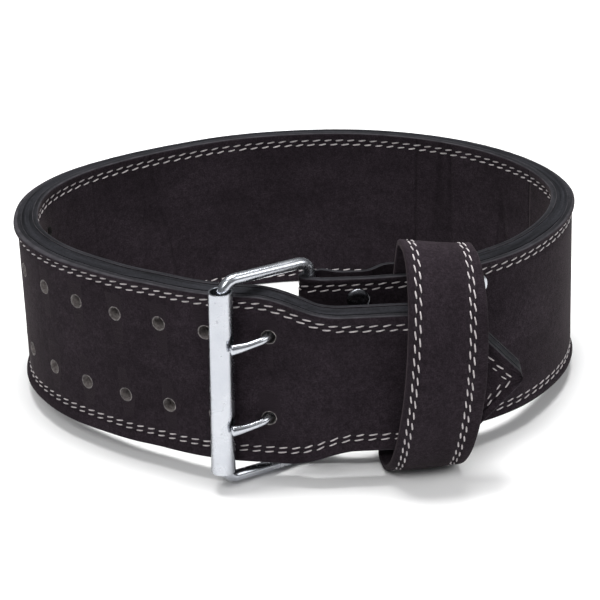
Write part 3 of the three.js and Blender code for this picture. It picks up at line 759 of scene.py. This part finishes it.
def worn_profile(half, flare, inset):
    """(distance in from the edge, outward offset) down one half of a ply's worn side."""
    first, second = inset, inset + SEAM_ROWS_APART
    rows = [(0, -0.95), (0.12, -0.5), (0.5, -0.12), (1.1, 0), (2.0, -0.05)]
    profile = [(d, flare + out) for d, out in rows]
    profile += [
        (first - 1.1, flare * 0.45), (first - 0.45, -SEAM_PINCH * 0.75), (first, -SEAM_PINCH),
        (first + 0.5, -SEAM_PINCH * 0.7), ((first + second) / 2, -SEAM_PINCH * 0.3),
        (second - 0.5, -SEAM_PINCH * 0.7), (second, -SEAM_PINCH), (second + 0.5, -SEAM_PINCH * 0.7),
        (second + 1.6, -SEAM_PINCH * 0.12), (second + 4.5, 0),
    ]
    count = len(profile)
    return [(min(d, half * (row + 0.5) / count), out) for row, (d, out) in enumerate(profile)]


def ply_section(station, side=1, crease=0):
    low, high = edges_at(max(station.length, 0))
    half = (high - low) / 2 + station.slant
    middle = (high + low) / 2
    worn = SUEDE / 2
    foot_inset, top_inset = seam_insets(station.length, side)
    lower = [(worn + out, middle - half + d) for d, out in worn_profile(half, station.flare, foot_inset)]
    upper = [(worn + out, middle + half - d)
             for d, out in reversed(worn_profile(half, station.flare, top_inset))]
    span = [lower[-1][1] + (upper[0][1] - lower[-1][1]) * share for share in (0.2, 0.4, 0.6, 0.8)]
    belly = [(worn + crease * math.sin(math.pi * (z - middle + half) / (2 * half)), z) for z in span]
    under = -worn - PLY_SQUEEZE
    flat = [(under, middle + half), (under, middle + half * 0.4), (under, middle - half * 0.4),
            (under, middle - half)]
    return lower + belly + upper + flat


PROFILE_POINTS = 15
SECTION_POINTS = 2 * PROFILE_POINTS + 4 + 4
EDGE_SIDES = {0, 1, SECTION_POINTS - 1}
UPPER_END = 2 * PROFILE_POINTS + 4 - 1
EDGE_SIDES |= {UPPER_END - 2, UPPER_END - 1, UPPER_END}


def strip(name, stations, section, side=1, edge_sides=EDGE_SIDES, materials=None):
    """Lofts a section along stations. side -1 turns the worn side towards the ring's inside."""
    plans = np.array([station.plan for station in stations])
    along = np.gradient(plans, axis=0)
    along /= np.linalg.norm(along, axis=1)[:, None]
    vertices, flow = [], []
    for station, tangent, s in zip(stations, along, run_of(plans)):
        out = right_of(tangent) * side
        for offset, z in section(station):
            plan = station.plan + offset * out + station.lean * (z - MIDDLE)
            vertices.append((plan[0], plan[1], z))
            flow.append((s, side * (offset + FLOW_DEPTH), z))
    sides = len(section(stations[0]))
    faces = loft_faces(len(stations), sides, False)
    picks = [1 if index % sides in edge_sides else 0 for index in range(len(faces) - 2)] + [1, 1]
    return make(name, vertices, faces, materials or [suede, suede_edge, hole_wall], picks, flow=flow)


def spaced(start, end, step):
    count = max(int(round(abs(end - start) / step)), 1)
    return [start + (end - start) * k / count for k in range(count + 1)]


def body_lengths(start):
    point = tip_length - 45
    near_tip = [tip_length - left for left in (8, 6, 4.5, 3.2, 2.2, 1.4, 0.8, 0.35, 0.08)]
    return spaced(start, point, 3)[:-1] + spaced(point, tip_length - 10, 2) + near_tip


def flare_at(length):
    return EDGE_FLARE * outline_at(OUTLINE_SPLAY, bearing_at(length))


def outer_stations():
    stations = []
    for length in spaced(leaf_end, 7, 3):
        plan = behind(length, leaf_depth(length))
        stations.append(Station(plan, length, fold_lean(length), 0.3, EDGE_SLANT))
    facing = math.degrees(math.atan2(normal_at(0)[1], normal_at(0)[0]))
    radius = BAR_RADIUS + GAP + SUEDE / 2
    for turn in range(180, -1, -10):
        out = turned(np.array([1.0, 0.0]), facing - turn)
        stations.append(Station(bar_axis + radius * out, 0, buckle_run, 0.2, 0))
    for length in body_lengths(7):
        plan = behind(length, SUEDE / 2)
        stations.append(Station(plan, length, fold_lean(length), flare_at(length), slant_at(0)))
    return stations


def crease_at(length):
    """How far a fold raises the inner ply's face at a length."""
    bearing = bearing_at(length)
    total = 0
    for crease in INNER_CREASES:
        away = (bearing - crease.bearing) * math.radians(1) * RING_WIDTH / 2 / crease.width
        total += crease.depth * math.exp(-away * away)
    return total


outer_run = outer_stations()
outer = strip("outer_ply", outer_run, ply_section)
slot_reach = BAR_RADIUS + PRONG_WIRE + 2 * GAP + PRONG_SLOT_DEEP
slot_half = PRONG_WIRE / 2 + PRONG_SLOT_PLAY


def slot_cutter(height):
    centre = bar_axis + buckle_run * (height - MIDDLE)
    vertices = [(centre[0] + slot_reach * c, centre[1] + slot_reach * s, z)
                for z in (height - slot_half, height + slot_half) for c, s in circle(32)]
    return make("slot", vertices, loft_faces(2, 32, False), [hole_wall])


cut_out(outer, hole_cutters() + rivet_cutters([RIVET_FROM_BAR, second_rivets])
        + [slot_cutter(height) for height in HOLE_HEIGHTS])
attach(outer, "root")
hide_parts("suede_outer")
hole_rims()

inner_run = [Station(behind(length, WALL - SUEDE / 2), length, end_lean(length), EDGE_FLARE, slant_at(WALL))
             for length in body_lengths(core_start)]
inner = strip("inner_ply", inner_run,
              lambda station: ply_section(station, -1, crease_at(station.length)), side=-1,
              materials=[suede_inside, suede_edge, hole_wall])
# the inner ply's hole walls take the leather darkened as painted shade
cut_out(inner, hole_cutters(shaded_hole_wall) + rivet_cutters([second_rivets]))
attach(inner, "root")
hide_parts("suede_inner")


def core_section(station):
    low, high = edges_at(station.length)
    outward, inward = slant_at(SUEDE + GAP), slant_at(SUEDE + GAP + CORE)
    half = CORE / 2 + PLY_SQUEEZE
    hollow = 0.25
    return [
        (half, low - outward), (half, high + outward),
        (half * 0.8, high + outward * 0.8 - 0.05), (half * 0.3, high + outward * 0.3 - hollow),
        (-half * 0.3, high + inward * 0.3 - hollow), (-half * 0.8, high + inward * 0.8 - 0.05),
        (-half, high + inward), (-half, low - inward),
        (-half * 0.3, low - inward * 0.3 + hollow), (half * 0.3, low - outward * 0.3 + hollow),
    ]


core_run = [Station(behind(length, SUEDE + GAP + CORE / 2), length, end_lean(length), 0, 0)
            for length in body_lengths(core_start)]
core = strip("core_ply", core_run, core_section, edge_sides=set(),
             materials=[core_edge, suede_edge, hole_wall])
cut_out(core, hole_cutters() + rivet_cutters([second_rivets]))
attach(core, "root")
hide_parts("core")


# Keeper

KEEPER_TURNS = 180


def keeper_line(angle):
    c, s = math.cos(angle), math.sin(angle)
    behind_crown = KEEPER_CROWN + SUEDE + 2.5 * GAP + KEEPER_THICKNESS
    power = 2 / (KEEPER_FRONT_POWER if c > 0 else KEEPER_BACK_POWER)
    reach = (KEEPER_BULGE if c > 0 else behind_crown) - KEEPER_THICKNESS / 2
    tall = (KEEPER_HEIGHT - KEEPER_THICKNESS) / 2
    return np.array([math.copysign(reach * abs(c) ** power, c), math.copysign(tall * abs(s) ** power, s)])


keeper_out = normal_at(KEEPER_FROM_BAR)
keeper_along = left_of(keeper_out)
keeper_crown = face(KEEPER_FROM_BAR) + KEEPER_CROWN * keeper_out
keeper_middle = KEEPER_HEIGHT / 2 - BUCKLE_DROP


def keeper_point(angle, side, depth):
    """A point of the keeper: round the loop, across its width and outward from its middle line."""
    here = keeper_line(angle)
    tangent = unit(keeper_line(angle + 0.02) - keeper_line(angle - 0.02))
    level = here + depth * right_of(tangent)
    skew = KEEPER_SKEW * side / (KEEPER_WIDTH / 2)
    level[1] = (level[1] + KEEPER_HEIGHT / 2) * (1 - skew) - KEEPER_HEIGHT / 2
    if level[0] > 0:
        level[0] *= 1 + skew
    shift = side + KEEPER_LEAN * (keeper_middle + level[1] - MIDDLE)
    bow = float((face(KEEPER_FROM_BAR) - face(KEEPER_FROM_BAR + shift)) @ keeper_out)
    sway = (KEEPER_SWAY - KEEPER_SLUMP) * max(level[0], 0)
    front = max(level[0], 0) / KEEPER_BULGE
    half = KEEPER_WIDTH / 2
    spread = KEEPER_SPREAD * front * smooth(half - 6, half, side)
    drawn_in = KEEPER_NARROW * (0.5 - side / KEEPER_WIDTH)
    between_edges = 1 - smooth(half - KEEPER_BORDER, half, abs(side))
    drift = (KEEPER_DRIFT - KEEPER_DRIFT_MORE * min(max(side / 12, -1), 1)) * between_edges * front
    along = shift + sway + spread + drawn_in - drift
    plan = keeper_crown + (level[0] - bow) * keeper_out + along * keeper_along
    return np.array([*plan, keeper_middle + level[1]])


def keeper_section():
    half, thick = KEEPER_WIDTH / 2, KEEPER_THICKNESS / 2
    first = KEEPER_SEAM_INSET
    second = first + KEEPER_ROWS_APART
    front = [(0, -1.3), (0.25, -0.6), (0.7, -0.15), (1.5, 0.1), (first - 0.9, 0), (first, -0.45),
             ((first + second) / 2, -0.2), (second, -0.45), (second + 0.9, 0), (second + 4, 0.12)]
    left = [(-half + d, thick + out) for d, out in front]
    right = [(half - d, thick + out) for d, out in reversed(front)]
    back = [(half, -thick + 0.5), (half - 0.6, -thick), (0, -thick), (-half + 0.6, -thick),
            (-half, -thick + 0.5)]
    return left + [(0, thick + 0.15)] + right + back


def make_keeper():
    section = keeper_section()
    vertices, flow = [], []
    for turn in range(KEEPER_TURNS):
        angle = 2 * math.pi * turn / KEEPER_TURNS
        for side, depth in section:
            vertices.append(keeper_point(angle, side, depth))
            flow.append((KEEPER_HEIGHT / 2 * min(angle, 2 * math.pi - angle), side, FLOW_DEPTH + depth))
    sides = len(section)
    faces = loft_faces(KEEPER_TURNS, sides, True)
    edge_sides = {sides - 6, sides - 5, sides - 2, sides - 1}      # before and after the back's five points
    picks = [1 if index % sides in edge_sides else 0 for index in range(len(faces))]
    return make("keeper_loop", vertices, faces, [suede, keeper_rim], picks, flow=flow)


def keeper_drop():
    """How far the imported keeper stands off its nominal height, so that it meets the floor."""
    points = [to_row @ Vector(keeper_point(2 * math.pi * turn / KEEPER_TURNS, side, KEEPER_THICKNESS / 2))
              for turn in range(KEEPER_TURNS) for side in (-KEEPER_WIDTH / 2, KEEPER_WIDTH / 2)]
    return (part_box("keeper")[0].z - min(point.z for point in points)) * 1000


keeper_middle += keeper_drop() + 0.1
keeper = make_keeper()
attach(keeper, "root")
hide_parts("keeper")


# Stitches


def stitches(name, points):
    """Seed stitches: at each (place, along, out, size) a short thread, with a needle hole after it whose
    near-black colour is painted shade.
    """
    vertices, faces, picks = [], [], []
    sides = 6
    rings = [(-0.5, 0.28, -0.9), (-0.42, 0.75, -0.25), (-0.2, 1.0, 0.1), (0.0, 1.0, 0.2),
             (0.2, 1.0, 0.1), (0.42, 0.75, -0.25), (0.5, 0.28, -0.9)]
    thread_faces = loft_faces(len(rings), sides, False)
    dent_faces = loft_faces(3, sides, False)
    for (place, along, out, size), after in zip(points, points[1:] + points[:1]):
        across = np.cross(along, out)
        base = len(vertices)
        for share, thick, rise in rings:
            centre = place + along * share * STITCH_LENGTH * size + out * rise * STITCH_WIDTH * 0.4
            vertices += [centre + thick * STITCH_WIDTH / 2 * (c * across * 1.05 + s * out * 0.8)
                         for c, s in circle(sides)]
        faces += shifted(thread_faces, base)
        picks += [0] * len(thread_faces)
        if np.linalg.norm(after[0] - place) > 1.3 * STITCH_PITCH:
            continue
        # The dent between two stitches is coloured near-black as painted shade
        base = len(vertices)
        dent = (place + after[0]) / 2 + (along - after[1]) * STITCH_PITCH / 8
        for wide, rise in ((1.0, -0.7), (1.0, -0.34), (0.4, -0.2)):
            vertices += [dent + out * rise + wide * NEEDLE_HOLE / 2 * (c * along + s * across * 0.55)
                         for c, s in circle(sides)]
        faces += shifted(dent_faces, base)
        picks += [1] * len(dent_faces)
    piece = make(name, vertices, faces, [thread, needle_hole_shade], picks, sharp=80)
    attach(piece, "root")


def even_places(line, start):
    """Each stitch's place along a line of (length, height) points, with the line's direction."""
    line = np.array(line)
    along = run_of(line)
    places = []
    s = start
    while s < along[-1]:
        ahead = between(min(s + 0.6, along[-1]), along, line)
        back = between(max(s - 0.6, 0), along, line)
        places.append((between(s, along, line), unit(ahead - back)))
        s += STITCH_PITCH
    return places


class Run:
    """A ply's stations as a continuous path, for what is sewn on its worn side."""

    def __init__(self, stations, side):
        self.side = side
        self.plans = np.array([station.plan for station in stations])
        self.leans = np.array([station.lean for station in stations])
        self.lengths = np.array([station.length for station in stations])
        self.along = run_of(self.plans)

    def plan(self, s):
        return between(s, self.along, self.plans)

    def length(self, s):
        return float(np.interp(s, self.along, self.lengths))

    def sewn(self, s, z, direction):
        """Where a stitch lies and how it is turned, at s along the run and at height z."""
        tangent = unit(self.plan(s + 1) - self.plan(s - 1))
        out = right_of(tangent) * self.side
        lean = between(s, self.along, self.leans)
        plan = self.plan(s) + (SUEDE / 2 - SEAM_PINCH + THREAD_PROUD) * out + lean * (z - MIDDLE)
        along = unit(np.array([tangent[0] * direction[0], tangent[1] * direction[0], direction[1]]))
        return np.array([*plan, z]), along, np.array([*out, 0])


def seam_lines(run, slant):
    """Each row's line of (place along the run, height): on top, round the point and back below."""
    lines = []
    half_angle = math.radians(POINT_ANGLE / 2)
    taper = math.tan(half_angle)
    end = run.along[-1]
    for row in (0, 1):
        shift = row * SEAM_ROWS_APART
        upper_arm = (POINT_SEAM_INSET + shift) / math.cos(half_angle)
        lower_arm = (POINT_FOOT_INSET + shift) / math.cos(half_angle)
        top, foot = [], []
        for s in np.arange(1.0, end, 1.5):
            length = run.length(s)
            low, high = edges_at(min(max(length, 0), tip_length - STRAP_WIDTH / 2))
            middle = (low + high) / 2
            foot_inset, top_inset = seam_insets(length, run.side)
            z_top = min(high + slant - top_inset - shift, middle + (end - s) * taper - upper_arm)
            z_foot = max(low - slant + foot_inset + shift, middle - (end - s) * taper + lower_arm)
            if z_top - z_foot < 1.5:
                break
            top.append((s, z_top))
            foot.append((s, z_foot))
        apex = end - (upper_arm + lower_arm) / (2 * taper)
        lines.append(top + [(apex, middle + (lower_arm - upper_arm) / 2)] + foot[::-1])
    return lines


def sew(name, run, slant):
    generator = random.Random(7)
    points = []
    for number, line in enumerate(seam_lines(run, slant)):
        start = STITCH_PITCH * (0.5 if number % 2 else 0.0) + 1
        for (s, z), direction in even_places(line, start):
            direction = turned(direction, run.side * (STITCH_SLANT + generator.uniform(-3, 3)))
            place, along, out = run.sewn(s, z, direction)
            points.append((place, along, out, generator.uniform(0.93, 1.06)))
    stitches(name, points)


sew("outer_stitches", Run(outer_run, 1), -EDGE_SLANT)
sew("inner_stitches", Run(inner_run, -1), EDGE_SLANT)


def keeper_stitches():
    generator = random.Random(11)
    points = []
    turns = np.linspace(0, 2 * math.pi, 721)
    sewn = KEEPER_THICKNESS / 2 - 0.15
    for number, (sign, row) in enumerate(((-1, 0), (-1, 1), (1, 0), (1, 1))):
        side = sign * (KEEPER_WIDTH / 2 - KEEPER_SEAM_INSET - row * KEEPER_ROWS_APART)
        line = np.array([keeper_point(angle, side, sewn) for angle in turns])
        along = run_of(line)
        s = STITCH_PITCH * (0.5 if number % 2 else 0.02)
        while s < along[-1]:
            angle = float(np.interp(s, along, turns))
            place = keeper_point(angle, side, sewn)
            ahead = keeper_point(angle + 0.01, side, sewn)
            inside = keeper_point(angle, side, 0)
            direction = unit(ahead - place)
            out = place - inside
            out = unit(out - (out @ direction) * direction)
            slant = math.tan(math.radians(STITCH_SLANT + generator.uniform(-3, 3)))
            direction = unit(direction + slant * np.cross(out, direction))
            points.append((place, direction, out, generator.uniform(0.93, 1.06)))
            s += STITCH_PITCH
    stitches("keeper_stitches", points)


keeper_stitches()


# Metal


def tube(name, path, radii, up_hint, closed=False, sides=24):
    """A wire along a path, with its two radii at each point."""
    path = np.array(path)
    count = len(path)
    vertices = []
    for index in range(count):
        if closed:
            tangent = unit(path[(index + 1) % count] - path[index - 1])
        else:
            tangent = unit(path[min(index + 1, count - 1)] - path[max(index - 1, 0)])
        across = unit(np.cross(up_hint, tangent))
        lift = np.cross(tangent, across)
        wide, tall = radii[index]
        vertices += [path[index] + wide * c * across + tall * s * lift for c, s in circle(sides)]
    return make(name, vertices, loft_faces(count, sides, closed), [steel], sharp=50)


def frame_wire():
    reach = float(np.linalg.norm(roller_axis - bar_axis)) - ROLLER_PLAY
    run = unit(roller_axis - bar_axis)
    low = BUCKLE_WIRE / 2 - BUCKLE_DROP
    high = low + BUCKLE_HEIGHT
    corners = [(BUCKLE_CORNER, low + BUCKLE_CORNER, 180), (reach - BUCKLE_CORNER, low + BUCKLE_CORNER, 270),
               (reach - BUCKLE_CORNER, high - BUCKLE_CORNER, 0), (BUCKLE_CORNER, high - BUCKLE_CORNER, 90)]
    path = []
    for along, z, start in corners:
        for turn in range(0, 91, 9):
            angle = math.radians(start + turn)
            out = BUCKLE_CORNER * math.cos(angle)
            centre = bar_axis + run * (along + out)
            height = z + BUCKLE_LEAN * along + BUCKLE_CORNER * math.sin(angle)
            path.append(leaned(centre, height))
    square = np.array([run[1], -run[0], 0])
    radii = [(BUCKLE_WIRE / 2, BUCKLE_WIRE / 2)] * len(path)
    return tube("frame_wire", path, radii, square, closed=True, sides=28)


wire = frame_wire()
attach(wire, "root")
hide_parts("buckle_frame")

tip_out = unit(behind(prong_length, -PRONG_ARCH) - roller_axis)
tip_reach = ROLLER_RADIUS + GAP + PRONG_WIRE / 2
prong_tip = roller_axis + turned(tip_out, -PRONG_TIP_TURN - PRONG_OVER_TURN) * tip_reach


def spun(name, profile, place, material, sides, sharp):
    """A turned piece: a closed profile of (radius, height) points, put in the belt's frame by place."""
    vertices = [place(radius * c, radius * s, z) for c, s in circle(sides) for radius, z in profile]
    faces = loft_faces(sides, len(profile), True)
    return make(name, vertices, faces, [material], sharp=sharp)


def roller_tube():
    outer_radius, inner_radius = ROLLER_RADIUS, ROLLER_RADIUS - ROLLER_WALL
    chamfer = 0.3
    low, high = roller_middle - ROLLER_LENGTH / 2, roller_middle + ROLLER_LENGTH / 2
    profile = [(inner_radius, low + chamfer), (inner_radius + chamfer, low), (outer_radius - chamfer, low),
               (outer_radius, low + chamfer)]
    profile += [(outer_radius, z) for z in spaced(low + chamfer, high - chamfer, 8)[1:]]
    profile += [(outer_radius - chamfer, high), (inner_radius + chamfer, high),
                (inner_radius, high - chamfer)]

    def place(x, y, z):
        return leaned(roller_axis + np.array([x, y]), z)

    piece = spun("roller_tube", profile, place, steel, 56, 40)
    towards = turned(tip_out, -PRONG_TIP_TURN)
    cutters = []
    for height in HOLE_HEIGHTS:
        plan = roller_axis + towards * ROLLER_RADIUS + buckle_run * (height - MIDDLE)
        across = left_of(towards)
        vertices = []
        for z in (-ROLLER_NOTCH / 2, ROLLER_NOTCH / 2):
            for a, b in ((-1, -1), (1, -1), (1, 1), (-1, 1)):
                corner = plan + a * towards * ROLLER_NOTCH_DEPTH + b * across * ROLLER_RADIUS / 2
                vertices.append((corner[0], corner[1], height + ROLLER_NOTCH_RISE + z))
        cutters.append(make("notch", vertices, loft_faces(2, 4, False), [steel]))
    cut_out(piece, cutters)
    return piece


roller = roller_tube()
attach(roller, "root")
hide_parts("roller")


def blend(a, b, start, end, t):
    return (end - t) / (end - start) * a + (t - start) / (end - start) * b


def spline(points, count):
    """A centripetal curve through the points, sampled evenly."""
    points = [np.array(point, float) for point in points]
    extended = [2 * points[0] - points[1]] + points + [2 * points[-1] - points[-2]]
    knots = [0.0]
    for a, b in zip(extended, extended[1:]):
        knots.append(knots[-1] + np.linalg.norm(b - a) ** 0.5)
    dense = []
    for index in range(1, len(extended) - 2):
        p0, p1, p2, p3 = extended[index - 1:index + 3]
        t0, t1, t2, t3 = knots[index - 1:index + 3]
        for t in np.linspace(t1, t2, 24, endpoint=False):
            middle = blend(p1, p2, t1, t2, t)
            early = blend(blend(p0, p1, t0, t1, t), middle, t0, t2, t)
            late = blend(middle, blend(p2, p3, t2, t3, t), t1, t3, t)
            dense.append(blend(early, late, t1, t2, t))
    dense.append(points[-1])
    dense = np.array(dense)
    along = run_of(dense)
    return np.array([between(s, along, dense) for s in np.linspace(0, along[-1], count)])


def prong(name, node, height):
    radius = PRONG_WIRE / 2
    eye_radius = BAR_RADIUS + GAP + radius
    in_mouth = behind(prong_length + PRONG_AHEAD, WALL + PRONG_BEHIND)
    out_mouth = behind(prong_length - PRONG_ASTERN, -PRONG_PROUD)
    away = unit(in_mouth - bar_axis)
    over = out_mouth + 0.4 * (prong_tip - out_mouth) + PRONG_ARCH * normal_at(prong_length)
    start_angle = math.degrees(math.atan2(away[1], away[0]))
    eye = [bar_axis + eye_radius * turned(np.array([1.0, 0.0]), start_angle + turn)
           for turn in range(350, 20, -15)]
    curve = spline([bar_axis + away * eye_radius, in_mouth, out_mouth, over, prong_tip], 48)
    plans = eye + list(curve)
    shares = [0] * len(eye) + list(np.linspace(0, 1, len(curve)))
    path, radii = [], []
    for plan, share in zip(plans, shares):
        z = height - PRONG_SAG * smooth(0.45, 1, share)
        path.append(leaned(plan, z))
        tall = radius + (PRONG_TIP / 2 - radius) * smooth(0.8, 1, share)
        radii.append((radius, tall))
    direction = unit(path[-1] - path[-2])
    tip = path[-1]
    wide, tall = radii[-1]
    for share in (0.35, 0.65, 0.85, 0.96, 1.0):
        path.append(tip + direction * radius * 0.55 * share)
        shrink = math.sqrt(max(1 - share * share, 0.02))
        radii.append((wide * shrink, tall * shrink))
    piece = tube(name, path, radii, np.array([0.0, 0.0, 1.0]), sides=20)
    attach(piece, "root")
    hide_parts(node)


prong("prong_wire_upper", "prong_upper", HOLE_HEIGHTS[0])
prong("prong_wire_lower", "prong_lower", HOLE_HEIGHTS[1])


def rivet(name, node, length, height, material):
    back = leaf_depth(length) + SUEDE / 2 + GAP
    cap, back_cap, shank = RIVET_CAP / 2, RIVET_BACK_CAP / 2, RIVET_SHANK / 2
    dome = [(cap * math.cos(angle) ** 0.6, GAP + 0.35 + (RIVET_CAP_HEIGHT - 0.35) * math.sin(angle) ** 0.75)
            for angle in np.linspace(0, math.pi / 2, 14)]
    back_dome = [(back_cap * math.cos(angle), -back - 0.4 - (RIVET_CAP_HEIGHT - 0.4) * math.sin(angle) * 0.8)
                 for angle in np.linspace(math.pi / 2, 0, 8)]
    profile = [(max(r, 0.02), out) for r, out in
               back_dome + [(back_cap, -back), (shank, -back), (shank, GAP), (cap, GAP)] + dome]
    normal = normal_at(length)
    across = left_of(normal)

    def place(x, y, out):
        return (*(face(length) + out * normal + x * across), height + y)

    piece = spun(name, profile, place, material, 40, 50)
    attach(piece, "root")
    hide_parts(node)


# The rivets by the bar take the darkened plating: painted shade
for column, length, material in (("bar", RIVET_FROM_BAR, shaded_steel), ("core", second_rivets, steel)):
    for level, height in zip(("upper", "lower"), RIVET_HEIGHTS):
        rivet(f"rivet_{column}_{level}_cap", f"rivet_{column}_{level}", length, height, material)


# Floor, light and view


def floor():
    side = 3.0
    mesh = bpy.data.meshes.new("floor")
    corners = [(-side, -side, 0), (side, -side, 0), (side, side, 0), (-side, side, 0)]
    mesh.from_pydata(corners, [], [(0, 1, 2, 3)])
    nodes = Nodes("floor_white")
    nodes.set("Base Color", (0.93, 0.93, 0.93, 1))
    nodes.set("Roughness", 0.6)
    nodes.set("Specular IOR Level", 0.2)
    mesh.materials.append(nodes.material)
    piece = added("floor", mesh)


def softbox(name, place, target, size, power):
    light = bpy.data.lights.new(name, "AREA")
    light.shape = "RECTANGLE"
    light.size, light.size_y = size
    light.energy = power
    holder = added(name, light)
    direction = Vector(target) - Vector(place)
    holder.matrix_world = Matrix.LocRotScale(Vector(place), direction.to_track_quat("-Z", "Y"), None)


floor()
softbox("key", (-0.7, -1.2, 1.6), (0, 0, 0.05), (1.0, 0.8), 16)
softbox("fill", (1.6, -0.6, 1.2), (0, 0, 0.05), (1.0, 1.0), 11)
softbox("top", (0.0, 0.2, 1.9), (0, -0.02, 0), (1.1, 0.7), 50)

world = bpy.data.worlds.new("studio")
world.use_nodes = True
tree = world.node_tree
background = tree.nodes["Background"]
place = tree.nodes.new("ShaderNodeTexCoord")
split = tree.nodes.new("ShaderNodeSeparateXYZ")
shade = tree.nodes.new("ShaderNodeValToRGB")
tree.links.new(place.outputs["Generated"], split.inputs[0])
tree.links.new(split.outputs["Z"], shade.inputs[0])
tree.links.new(shade.outputs[0], background.inputs["Color"])
horizon, zenith = shade.color_ramp.elements
horizon.position, horizon.color = 0.35, (0.4, 0.41, 0.43, 1)
zenith.position, zenith.color = 0.8, (1, 1, 1, 1)
background.inputs["Strength"].default_value = 0.4
bpy.context.scene.world = world
bpy.context.scene.view_settings.view_transform = "Standard"
